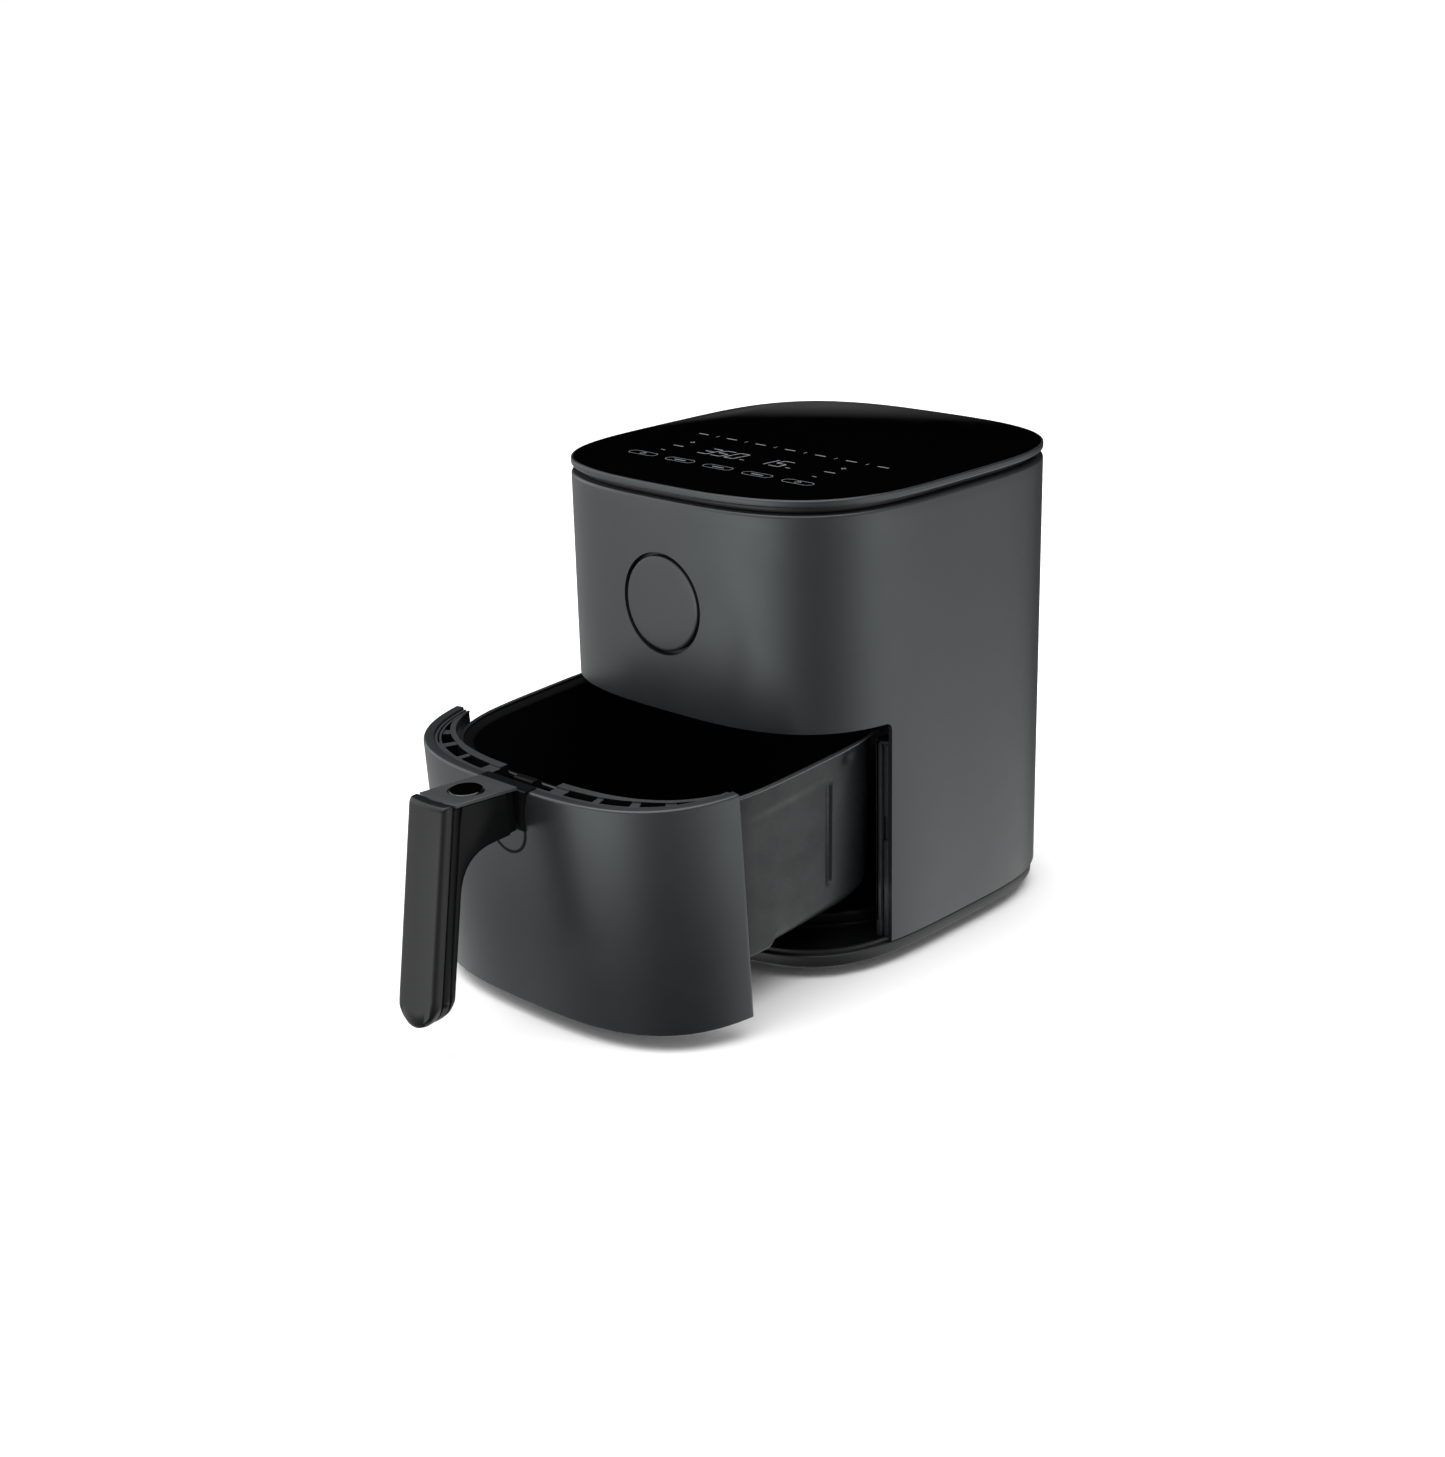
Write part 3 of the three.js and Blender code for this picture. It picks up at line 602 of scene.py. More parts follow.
def frame_of(outline, width, start, end):
    """A flat ring that follows an outline, width wide inwards."""
    inner = shrunk(outline, width)
    sections = []
    for (u, v), (iu, iv) in zip(outline, inner):
        corners = ((u, v, start), (u, v, end), (iu, iv, end), (iu, iv, start))
        sections.append([Vector(corner) for corner in corners])
    return skin(sections, ring=True)


def boxes(*corners):
    """Plain blocks in one mesh, each from its two corners."""
    mesh = bmesh.new()
    for low, high in corners:
        size = Vector(high) - Vector(low)
        middle = (Vector(high) + Vector(low)) / 2
        place = Matrix.Translation(middle) @ Matrix.Diagonal((*size, 1))
        bmesh.ops.create_cube(mesh, size=1, matrix=place)
    return mesh


def joined_mesh(*meshes):
    whole = meshes[0]
    for other in meshes[1:]:
        data = bpy.data.meshes.new("part")
        other.to_mesh(data)
        other.free()
        whole.from_mesh(data)
        bpy.data.meshes.remove(data)
    return whole


# ---- Casing


class Sheet:
    """A sheet over a grid of columns along the plan and rows up the side, with round holes."""

    def __init__(self, plan):
        self.plan = plan
        self.mesh = bmesh.new()
        self.verts = {}

    def vert(self, s, inset, z):
        key = (round((s + self.plan.half) % (2 * self.plan.half), 4), round(inset, 4), round(z, 4))
        if key not in self.verts:
            self.verts[key] = self.mesh.verts.new(self.plan.point(s, inset, z))
        return self.verts[key]

    def cell(self, corners):
        found = []
        for corner in corners:
            vert = self.vert(*corner)
            if vert not in found:
                found.append(vert)
        if len(found) > 2:
            self.mesh.faces.new(found)

    def grid(self, columns, rows, skip=lambda s, z: False):
        """Fills columns by rows; rows are (inset, z), or a function of s that gives them."""
        for left, right in zip(columns, columns[1:]):
            at_left = rows(left) if callable(rows) else rows
            at_right = rows(right) if callable(rows) else rows
            for k in range(len(at_left) - 1):
                middle = (at_left[k][1] + at_left[k + 1][1]) / 2
                if skip((left + right) / 2, middle):
                    continue
                near = (left, *at_left[k]), (right, *at_right[k])
                self.cell((*near, (right, *at_right[k + 1]), (left, *at_left[k + 1])))

    def hole(self, centre_s, centre_z, radius, columns, levels, rings=5):
        """Fills the square between these columns and levels round a hole."""
        square = [(s, levels[0]) for s in columns[:-1]]
        square += [(columns[-1], z) for z in levels[:-1]]
        square += [(s, levels[-1]) for s in reversed(columns[1:])]
        square += [(columns[0], z) for z in reversed(levels[1:])]
        loops = []
        for k in range(rings + 1):
            t = (k / rings) ** 1.5
            loop = []
            for s, z in square:
                angle = math.atan2(z - centre_z, s - centre_s)
                near = (centre_s + radius * math.cos(angle), centre_z + radius * math.sin(angle))
                loop.append((near[0] + (s - near[0]) * t, 0.0, near[1] + (z - near[1]) * t))
            loops.append(loop)
        for inner, outer in zip(loops, loops[1:]):
            for i in range(len(inner)):
                j = (i + 1) % len(inner)
                self.cell((inner[i], outer[i], outer[j], inner[j]))


def levels_between(*marks, step=12.0):
    """Heights that include every mark, about evenly spaced between them."""
    heights = []
    for low, high in zip(marks, marks[1:]):
        count = max(1, round((high - low) / step))
        heights += stations(low, high, count)[:-1]
    return heights + [marks[-1]]


def outer_shell():
    """The casing's wall, with the drawer's opening, the badge's hole and the holes at the back."""
    corner = casing.s_at_y(OPENING_FRONT)
    badge = casing.s_at_x(BADGE_SQUARE)
    vent = casing.s_at_x(VENT_HALF, back=True)
    cord = [casing.s_at_x(CORD_X + d, back=True) for d in (CORD_SQUARE, 0, -CORD_SQUARE)]
    opening_low = OPENING_TOP - OPENING_CORNER
    cord_levels = stations(CORD_Z - CORD_SQUARE, CORD_Z + CORD_SQUARE, 8)
    above_cord = levels_between(cord_levels[-1], opening_low + 1)[:-1]
    lower = sorted({SHELL_BOTTOM, *cord_levels, *above_cord}) + [opening_low]
    badge_low, badge_high = BADGE_Z - BADGE_SQUARE, BADGE_Z + BADGE_SQUARE
    badge_levels = levels_between(badge_low, VENT_FLOOR, VENT_CEILING, badge_high, step=5)
    between = (OPENING_TOP + 11.4, *badge_levels)
    above_badge = levels_between(badge_high, SHELL_TOP - SHELL_ROUND, step=8)[1:]
    rolled = arc((SHELL_ROUND, SHELL_TOP - SHELL_ROUND), SHELL_ROUND, 180, 90, 5)
    upper = [(0.0, z) for z in (*between, *above_badge)] + rolled[1:]
    upper += [(6.0, SHELL_TOP), (11.0, SHELL_TOP)]

    def opening_level(s):
        """How high the bottom of the upper wall is at this place."""
        from_corner = corner - abs(s)
        if from_corner <= 0:
            return opening_low
        if from_corner >= OPENING_CORNER:
            return OPENING_TOP
        across = OPENING_CORNER - from_corner
        return opening_low + math.sqrt(OPENING_CORNER**2 - across**2)

    swings = [math.radians(d) for d in range(0, 91, 15)]
    bend = [corner - OPENING_CORNER * (1 - math.cos(swing)) for swing in swings]
    half = stations(0, badge, 8) + stations(badge, bend[-1], 34)[1:] + bend[-2::-1]
    half += stations(corner, cord[0], 60)[1:]
    half += stations(cord[0], vent, 3)[1:] + stations(vent, cord[2], 6)[1:]
    half += stations(cord[2], casing.half, 6)[1:]
    columns = sorted(set([-s for s in half] + half))
    wall = [s for s in half if s >= corner - 1e-9]

    def in_upper_hole(s, z):
        in_badge = abs(s) < badge and abs(z - BADGE_Z) < BADGE_SQUARE
        in_vent = abs(s) > vent and VENT_FLOOR < z < VENT_CEILING
        return in_badge or in_vent

    def in_cord_hole(s, z):
        return cord[0] < s < cord[2] and abs(z - CORD_Z) < CORD_SQUARE

    sheet = Sheet(casing)
    sheet.grid(columns, lambda s: [(0.0, opening_level(s)), *upper], in_upper_hole)
    lower_wall = [(0.0, z) for z in lower]
    sheet.grid(wall, lower_wall, in_cord_hole)
    sheet.grid([-s for s in reversed(wall)], lower_wall)
    badge_columns = [s for s in columns if abs(s) <= badge + 1e-6]
    sheet.hole(0, BADGE_Z, BADGE_HOLE, badge_columns, badge_levels)
    # The cord's square stands on the right half's columns only.
    cord_columns = [s for s in half if cord[0] - 1e-9 <= s <= cord[2] + 1e-9]
    sheet.hole(cord[1], CORD_Z, CORD_HOLE, cord_columns, cord_levels, rings=3)
    piece = build("shell", sheet.mesh, "slate_plastic", ["outer_shell"])
    thick = piece.modifiers.new("wall", "SOLIDIFY")
    thick.thickness = SHELL_WALL * MM
    thick.offset = -1
    thick.use_even_offset = True
    bevelled(piece, 0.7, 3, 50)


def badge_disc():
    """A round disc that follows the curve of the casing and lies flush in its hole."""
    edge = BADGE_RADIUS
    profile = [(1, 6.5), (edge, 6.5), (edge, 0.9), (edge - 0.25, 0.35), (edge - 0.9, 0.05)]
    profile += [(edge - 2, 0), (20, 0), (10, 0), (1, 0)]
    loops = []
    for radius, depth in profile:
        ring = circle((0, BADGE_Z), radius, 0, 96)
        loops.append([Vector((p.x, casing.depth(p.x) + depth, p.y)) for p in ring])
    build("badge", skin(loops), "slate_plastic", ["badge_disc"])


def neck():
    """The dark band between the casing and the lid, with a skirt inside the casing."""
    top, seat, skirt = LID_BOTTOM + 0.2, SHELL_TOP + 0.2, SHELL_TOP - 8
    corners = ((5.5, seat), (5.5, top), (14, top), (14, skirt), (12.4, skirt), (12.4, seat))
    outline = rounded([(*corner, 0.3) for corner in corners], 2)
    build("neck", all_round(casing, outline), "black_plastic", ["neck_ring"])


def lid():
    seat = GLASS_INSET - 0.15
    outline = [(0, LID_BOTTOM, 0.9), (0, TOP - 0.15, 0.9), (seat, TOP - 0.15, 0.15)]
    outline += [(seat, TOP - 1.3, 0), (26, TOP - 1.3, 0), (26, LID_BOTTOM, 0)]
    build("lid_rim", all_round(casing, rounded(outline)), "slate_plastic", ["lid_frame"])
    edge = arc((GLASS_INSET + 0.4, GLASS_TOP - 0.4), 0.4, 180, 90, 4)
    mesh = stacked_plan(casing, [(GLASS_INSET, TOP - 1.2)] + edge)
    build("glass_panel", mesh, "gloss_black", ["touch_panel"])


# Each digit as the bars that it lights: top, upper left, upper right, middle, lower left,
# lower right and bottom.
DIGIT_BARS = {"0": "1110111", "1": "0010010", "3": "1011011", "5": "1101011"}
# The bars' ends, in the digit's widths and in halves of its height.
BAR_ENDS = ((0, 2, 1, 2), (0, 1, 0, 2), (1, 1, 1, 2), (0, 1, 1, 1))
BAR_ENDS += ((0, 0, 0, 1), (1, 0, 1, 1), (0, 0, 1, 0))
DIGIT_SIZE = (8, 7)
DIGIT_SLANT = 0.12
DIGIT_ROW = -57
KEY_ROW = -80
WORD_ROW = -17
MARK_BOTTOM = GLASS_TOP - 0.02


def bar(x0, y0, x1, y1, width):
    """A flat bar with pointed ends."""
    along = Vector((x1 - x0, y1 - y0)).normalized()
    across = Vector((-along.y, along.x)) * width / 2
    nib = along * width / 2
    start, end = Vector((x0, y0)), Vector((x1, y1))
    near, far = start + nib, end - nib
    corners = (start, near + across, far + across, end, far - across, near - across)
    return prism([tuple(corner) for corner in corners], MARK_BOTTOM, TOP)


def dash(x, y, half, width):
    return bar(x - half, y, x + half, y, width)


def digit(shape, x, y):
    """The seven-bar digit whose lower left corner is at (x, y)."""
    bars = []
    for lit, ends in zip(DIGIT_BARS[shape], BAR_ENDS):
        if lit == "1":
            u0, v0, u1, v1 = [part * size for part, size in zip(ends, DIGIT_SIZE * 2)]
            start, end = x + u0 + DIGIT_SLANT * v0, x + u1 + DIGIT_SLANT * v1
            bars.append(bar(start, y + v0, end, y + v1, 0.91))
    return bars


def pill(x, y, width, height):
    """A thin line round a field with round ends."""
    corners = []
    for u, v in ((-1, -1), (1, -1), (1, 1), (-1, 1)):
        corners.append((x + u * width / 2, y + v * height / 2, height * 0.49))
    return frame_of(rounded(corners, 6), 0.35, MARK_BOTTOM, TOP)


def panel_marks():
    """Time and temperature, round-ended keys, and plain strokes where words would be."""
    marks = []
    for k in range(-2, 3):
        x, y = 33 * k - 3, KEY_ROW - 0.6 * k
        marks.append(pill(x, y, 23, 7.6))
        if abs(k) < 2:
            marks.append(dash(x, y, 5, 1.1))
        else:
            marks.append(pill(x, y, 4.2, 4.2))
            marks.append(bar(x, y - 0.2, x, y + 2.9, 0.6))
    for shape, x in zip("35015", (-43, -31.5, -20, 5.2, 17.4)):
        marks += digit(shape, x, DIGIT_ROW)
    for x in (-5.5, 32.5):
        marks.append(dash(x, DIGIT_ROW + 1, 2, 0.8))
    for x in (-66, 61):
        marks.append(dash(x, -64, 2, 0.7))
        marks.append(dash(x, -50, 4.5, 1.0))
        marks.append(dash(x, -37, 2, 0.7))
        marks.append(bar(x, -39, x, -35, 0.7))
    for k in range(-3, 4):
        x, y = 26 * k, WORD_ROW - k
        marks.append(dash(x, y, 4.5, 1.1))
        if k < 3:
            marks.append(bar(x + 13, y - 2.2, x + 13, y + 1.4, 0.45))
    build("panel_marks", joined_mesh(*marks), "printed_marks")


def base():
    """The base tray, in two steps, with a lip that stands up inside the casing."""
    step = BASE_BOTTOM + 6.2
    lip, inside = BASE_TOP + 1.5, BASE_TOP - 1.2
    profile = [(18, BASE_BOTTOM)] + arc((14.6, BASE_BOTTOM + 1.2), 1.2, 270, 180, 4)
    profile += [(13.4, step)] + arc((3.0, step + 1.2), 1.2, 270, 180, 4)
    profile += arc((2.8, BASE_TOP - 2.0), 1.0, 180, 90, 4) + [(4.6, BASE_TOP - 1.0)]
    profile += [(4.6, lip), (6.4, lip), (6.4, inside), (20, inside), (20, BASE_TOP - 5)]
    build("base", stacked_plan(casing, profile), "black_plastic", ["base_tray"])


def drawer_floor():
    """A flat floor with a low round step that the pan runs over, and the glide bar's seats."""
    step_top = node_box("left_guide")[0].z + 10.1
    floor = stacked_plan(casing, [(6.6, BASE_TOP - 3), (6.6, BASE_TOP - 0.4), (7, BASE_TOP)])
    profile = [(112, BASE_TOP - 1)] + arc((111, BASE_TOP + 2.5), 1, 0, 90, 3)
    profile += [(109.5, BASE_TOP + 3.5)] + arc((107.5, step_top - 2), 2, 0, 90, 5)
    step = stacked(profile, (0, 0), 160)
    low, high = node_box("glide_bar")
    y = (low.y + high.y) / 2 - CENTRE_Y
    z = (low.z + high.z) / 2
    ends = ((low.x, low.x + 6), (high.x - 6, high.x))
    seats = boxes(*[((x0, y - 5, step_top - 3), (x1, y + 6, z - 1.5)) for x0, x1 in ends])
    build("drawer_floor", joined_mesh(floor, step, seats), "handle_plastic", ["cavity_floor"])


def guide(side):
    """Beside the drawer: a flange with a slot and a rib, a wall behind it and a rail on top."""
    name = "right_guide" if side > 0 else "left_guide"
    low, high = node_box(name)
    inner, outer = sorted((abs(low.x), abs(high.x)))
    front, back = low.y - CENTRE_Y, high.y - CENTRE_Y
    floor, top = low.z, high.z
    near, far, slot_floor, slot_top = outer - 4.2, outer - 1.2, 82.0, 98.0
    blocks = (
        ((inner, front, floor), (inner + 3.6, front + 3, top)),
        ((inner + 3.4, front + 6, floor), (near, front + 8, top - 3)),
        ((near, front + 0.8, floor), (far, front + 3, slot_floor)),
        ((near, front + 0.8, slot_top), (far, front + 3, top - 3)),
        ((far, front + 0.8, floor), (outer, front + 3, top - 3)),
        ((near, front, top - 3), (outer, front + 3, top - 2.2)),
        ((inner, front, floor + 10.4), (inner + 2, back, top)),
        ((inner, front, top - 2), (outer - 0.6, back, top)),
        ((near - 0.4, front + 2.6, slot_floor - 2), (far + 0.4, front + 6, slot_top + 2)),
    )
    placed = []
    for (x0, *start), (x1, *end) in blocks:
        left, right = sorted((side * x0, side * x1))
        placed.append(((left, *start), (right, *end)))
    bevelled(build(name + "_moulding", boxes(*placed), "frame_plastic", [name]), 0.35, 2)


def rear_vent():
    """Louvres between upright bars, all following the curve of the back."""
    start = casing.s_at_x(VENT_HALF - 0.6, back=True)
    end = 2 * casing.half - start
    low, high = VENT_FLOOR + 0.4, VENT_CEILING - 0.4
    pitch, width = 6.0, 3.4

    def strip(bottom, top, first, last, count):
        edge = [(0.4, bottom, 0.4), (0.4, top, 0.4), (3, top, 0.2), (3, bottom, 0.2)]
        return along_plan(casing, rounded(edge, 3), first, last, count, 0.3)

    parts = []
    count = int((high - low - pitch) / pitch)
    lowest_slat = low + (high - low - (count - 1) * pitch) / 2
    for k in range(count):
        z = lowest_slat + k * pitch
        corners = ((0.5, z - 1.1), (0.5, z + 0.5), (2.9, z + 2.3), (2.9, z + 0.7))
        slat = rounded([(*corner, 0.25) for corner in corners], 2)
        parts.append(along_plan(casing, slat, start + 1, end - 1, 30, 0.2))
    parts.append(strip(low, low + width, start, end, 30))
    parts.append(strip(high - width, high, start, end, 30))
    for place in (start, (start + end) / 2 - width / 2, end - width):
        parts.append(strip(low, high, place, place + width, 2))
    build("vent_louvres", joined_mesh(*parts), "black_plastic", ["rear_vent"])


def cord_inlet():
    """The rubber bush round the hole for the mains lead."""
    outline = [(3.8, -7, 0.4), (7.4, -7, 0.4), (7.4, 0.2, 0), (9, 0.2, 0.4), (9, 2, 0.7)]
    mesh = turned(rounded(outline + [(3.8, 2, 0.8)], 4), 48)
    place = Matrix.Translation((CORD_X, casing.depth(CORD_X, back=True), CORD_Z))
    space = HOUSING @ (place @ Matrix.Rotation(-math.pi / 2, 4, "X"))
    build("cord_bush", mesh, "rubber", ["cord_inlet"], space=space)


def feet():
    for number in range(1, 5):
        low, high = node_box(f"foot_{number}")
        centre = ((low.x + high.x) / 2, (low.y + high.y) / 2 - CENTRE_Y)
        radius = (high.x - low.x) / 2
        profile = [(radius - 2.6, 0.5), (radius - 2.4, 0)]
        profile += arc((radius - 0.9, 0.9), 0.9, 270, 360, 4) + [(radius, high.z)]
        mesh = stacked(profile, centre, 48)
        build(f"foot_pad_{number}", mesh, "rubber", [f"foot_{number}"])


# ---- Drawer: front, frame and pan

FRONT_END = casing.s_at_y(FRONT_BACK)


def drawer_front():
    under_lip = FRONT_TOP - 2.4
    outline = [(0, FRONT_BOTTOM, 0.9), (0, FRONT_TOP, 1.7), (LIP_WIDTH, FRONT_TOP, 0.5)]
    outline += [(LIP_WIDTH, under_lip, 0.3), (3, under_lip, 0.4), (3, FRONT_BOTTOM, 0.6)]
    mesh = along_plan(casing, rounded(outline), -FRONT_END, FRONT_END, 200)
    build("front_panel", mesh, "slate_plastic", ["drawer_front"], "drawer")


def frame_width(s):
    """How far in from the casing's outline the pan's rim is, measured square to the outline."""
    low, high = 4.0, 40.0
    for _ in range(30):
        middle = (low + high) / 2
        point = casing.point(s, middle, 0)
        across = abs(point.x / (PAN_HALF_WIDTH + 1.0)) ** POWER_X
        across += abs(point.y / (PAN_HALF_DEPTH + 1.0)) ** POWER_Y
        if across > 1:
            low = middle
        else:
            high = middle
    return low


def frame_section(s, open_pocket, notch):
    """Across the frame: two ribs on the outside, a row of pockets, and an inner rib."""
    width = frame_width(s)
    top = FRAME_TOP
    start = LIP_WIDTH + 0.35
    beside = min(1.0, max(0.0, (abs(s) - 92) / 14))
    groove = top - 4.0 * beside - 0.3
    rib_1, gap_1, rib_2, gap_2 = start + 1.6, start + 2.8, start + 4.0, start + 4.4
    inner_rib = width - 1.8
    pocket_start = min(gap_2, inner_rib)
    pocket_end = min(max(gap_2, inner_rib - 2.2), pocket_start + 7.5)
    deep = top - 26 if open_pocket else top - 1.4
    if notch:
        deep = top - 22
    inner_top = deep if notch else top - 0.4
    section = [(start, FRAME_BOTTOM), (start, top - 0.3), (start + 0.3, top), (rib_1, top)]
    section += [(rib_1 + 0.1, groove), (gap_1 - 0.1, groove), (gap_1, top - 0.3)]
    section += [(rib_2, top - 0.3), (pocket_start, deep), (pocket_end, deep)]
    section += [(pocket_end + 0.1, inner_top), (width - 0.5, inner_top)]
    section += [(width - 0.2, inner_top - 0.4), (width - 0.2, FRAME_BOTTOM + 60)]
    return section + [(width - 1.6, FRAME_BOTTOM)]


def drawer_frame():
    """The black moulding between the front panel and the rim of the pan."""
    edges = {-LATCH_NOTCH, LATCH_NOTCH}
    for pocket in POCKETS:
        edges |= {side * place for place in pocket for side in (-1, 1)}
    end = FRONT_END - 0.4
    sections = []
    for s in sorted(edges.union(stations(-end, end, 220))):
        # At an edge the section changes at once, so it stands there twice.
        for probe in (s - 0.01, s + 0.01) if s in edges else (s,):
            in_pocket = any(low < abs(probe) < high for low, high in POCKETS)
            section = frame_section(s, in_pocket, abs(probe) < LATCH_NOTCH)
            sections.append([casing.point(s, *p) for p in section])
    mesh = skin(sections)
    # Faces more than 3 mm below the frame's top, in the pockets and down the walls, take the darker
    # handle_plastic: painted shade.
    for face in mesh.faces:
        if face.calc_center_median().z < FRAME_TOP - 3:
            face.material_index = 1
    piece = build("frame_moulding", mesh, "frame_plastic", ["drawer_frame"], "drawer")
    piece.data.materials.append(MATERIALS["handle_plastic"])


def smooth_step(value, low, high):
    t = min(1.0, max(0.0, (value - low) / (high - low)))
    return t * t * (3 - 2 * t)


def side_relief(y, z):
    """How far the pan's side is pressed in here: a soft crease, an upright groove, a dimple."""
    crease = 133 + 0.03 * (y + 20)
    below = (1 - smooth_step(z, crease - 4, crease + 1)) * (1 - smooth_step(y, 20, 27))
    fade = smooth_step(z, 66, 110) * smooth_step(y, -60, -20)
    groove = math.exp(-(((y - 25) / 1.5) ** 2)) * smooth_step(z, 60, 64) * (1 - smooth_step(z, 128, 132))
    dimple = math.exp(-(((y - 44) / 5) ** 2) - (((z - 140) / 3) ** 2))
    return 0.9 * below * fade + 1.9 * groove + 1.6 * dimple


def pan_lower_edge(y):
    """Height where the pan's side turns under: lower in the front part."""
    return 41.5 + 11 * smooth_step(y, -30, -21)


def pan():
    """Up the pan's outside, over its rolled rim and down its inside, one row after another."""
    places = pan_plan.places(420)
    shelf = RIM_TOP - 5.0
    rows = []

    def row(place_at):
        rows.append([pan_plan.point(s, *place_at(s)) for s in places])

    def level_rows(points):
        for point in points:
            row(lambda s: point)

    def wall_foot(s):
        """The wall's foot, as inset and height, how much of a side this is, and its y."""
        _, y, nx, _ = pan_plan.at(s)
        share = smooth_step(abs(nx), 0.75, 0.97)
        edge = 56 + (pan_lower_edge(y) - 56) * share
        return WALL_INSET + WALL_LEAN * (RIM_TOP - edge), edge, share, y

    def turn_under(s, swing):
        inset, edge, _, _ = wall_foot(s)
        drop = (edge - PAN_BOTTOM) * math.cos(swing) ** 0.8
        return 25 - (25 - inset) * math.sin(swing), edge - drop

    def wall(s, t):
        inset, edge, share, y = wall_foot(s)
        z = edge + (shelf - edge) * t
        return inset + (WALL_INSET - inset) * t + side_relief(y, z) * share, z

    level_rows([(34, PAN_BOTTOM), (25, PAN_BOTTOM)])
    for k in range(9):
        row(lambda s: turn_under(s, math.radians(90 * k / 8)))
    for k in range(1, 71):
        row(lambda s: wall(s, k / 70))
    level_rows([(6.6, RIM_TOP - 4.4), (2.4, RIM_TOP - 3.0)])
    # The rolled rim's faces take a glossier copy of the coating, a touch lighter in colour: the gloss gives a real
    # highlight, and the lighter colour is painted highlight.
    rim_start = len(rows) * len(places)
    level_rows(arc((1.3, RIM_TOP - 1.2), 1.2, 270, 90, 8))
    # The inside's faces take a near-black, matt copy of the coating: painted shade inside the pan.
    inside_start = (len(rows) + 1) * len(places)
    level_rows([(2.2, RIM_TOP - 0.3), (2.7, RIM_TOP - 0.9), (2.9, RIM_TOP - 2.0)])
    level_rows([(7.4, RIM_TOP - 3.2), (8.5, RIM_TOP - 4.2), (8.9, RIM_TOP - 9)])
    level_rows([(9.2 + 6.4 * k / 12, RIM_TOP - 12 - (RIM_TOP - 69) * k / 12) for k in range(13)])
    level_rows([(16.4, 50), (19, 45.5), (24, 42.2), (30, PAN_BOTTOM + 1.5)])
    mesh = skin(rows)
    for number, face in enumerate(mesh.faces):
        if number >= inside_start:
            face.material_index = 1
        elif number >= rim_start:
            face.material_index = 2
    piece = build("pan_body", mesh, "coated_metal", ["pan"], "drawer")
    piece.data.materials.append(MATERIALS["painted_shade_coating"])
    piece.data.materials.append(MATERIALS["rim_highlight_coating"])


# ---- Crisper plate


def ring_of(centre, radius, steps):
    """Points round a circle, as (u, v)."""
    turns = np.linspace(0, 2 * math.pi, steps + 1)[:-1]
    return [(centre[0] + radius * math.cos(t), centre[1] + radius * math.sin(t)) for t in turns]


def fill_outlines(outlines, thickness, edge):
    """A flat plate from closed outlines, the first its edge and the rest holes."""
    curve = bpy.data.curves.new("plate", "CURVE")
    curve.dimensions = "2D"
    curve.fill_mode = "BOTH"
    curve.extrude = (thickness / 2 - edge) * MM
    curve.bevel_depth = edge * MM
    curve.bevel_resolution = 2
    curve.offset = -edge * MM
    for outline in outlines:
        spline = curve.splines.new("POLY")
        spline.points.add(len(outline) - 1)
        for point, (u, v) in zip(spline.points, outline):
            point.co = (u * MM, v * MM, 0, 1)
        spline.use_cyclic_u = True
    holder = bpy.data.objects.new("plate", curve)
    bpy.context.scene.collection.objects.link(holder)
    flat = bpy.data.meshes.new_from_object(holder.evaluated_get(bpy.context.evaluated_depsgraph_get()))
    bpy.data.objects.remove(holder)
    mesh = bmesh.new()
    mesh.from_mesh(flat)
    bpy.data.meshes.remove(flat)
    mesh.transform(Matrix.Scale(1 / MM, 4))
    return mesh


def crisper_plate():
    """A flat coated plate with rows of slots, standing on four soft bumpers."""
    plan = Plan(PLATE_HALF, PLATE_HALF * PAN_HALF_DEPTH / PAN_HALF_WIDTH)
    edge = [plan.point(s, 0, 0) for s in plan.places(160)]
    outlines = [[(p.x, p.y) for p in edge]]
    corners = ((-12, -3), (-12, 3), (12, 3), (12, -3))
    for row in range(-2, 3):
        for column in (-1, 0, 1):
            slot = [(column * 36 + x, row * 26 + y, 2.9) for x, y in corners]
            outlines.append(rounded(slot, 5))
    outlines += [ring_of(centre, 3.3, 24) for centre in BUMPERS]
    mesh = fill_outlines(outlines, PLATE_THICK, 0.5)
    mesh.transform(Matrix.Translation((0, 0, PLATE_Z + PLATE_THICK / 2)))
    build("cooking_plate", mesh, "coated_metal", ["crisper_plate"], "crisper", sharp=50)
    stem, cap = BUMPER_RADIUS - 2.1, PLATE_Z + PLATE_THICK
    profile = [(BUMPER_RADIUS - 1, PAN_BOTTOM + 1.9), (BUMPER_RADIUS, PAN_BOTTOM + 2.9)]
    profile += [(BUMPER_RADIUS, PLATE_Z - 0.6), (BUMPER_RADIUS - 0.4, PLATE_Z - 0.2)]
    profile += [(stem, PLATE_Z - 0.2), (stem, cap), (stem - 0.4, cap + 0.3)]
    for number, centre in enumerate(BUMPERS, 1):
        mesh = stacked(profile, centre, 32)
        build(f"bumper_{number}", mesh, "rubber", [f"plate_bumper_{number}"], "crisper")


# ---- Handle


def arm_top(y):
    along = (y - ARM_ROOT) / (ARM_END - ARM_ROOT)
    return ARM_TOP_ROOT + along * (ARM_TOP_END - ARM_TOP_ROOT)


def grip_face(z, step=0.0):
    """Depth of the grip's back face at this height, moved forward by step."""
    return GRIP_BACK - GRIP_LEAN * (ARM_TOP_END - z) - step


def lowest(x):
    """The rounded lower end of the grip: how low it reaches at this x."""
    reach = min(abs(x), HANDLE_HALF)
    return GRIP_BOTTOM + HANDLE_HALF - math.sqrt(HANDLE_HALF**2 - reach**2)


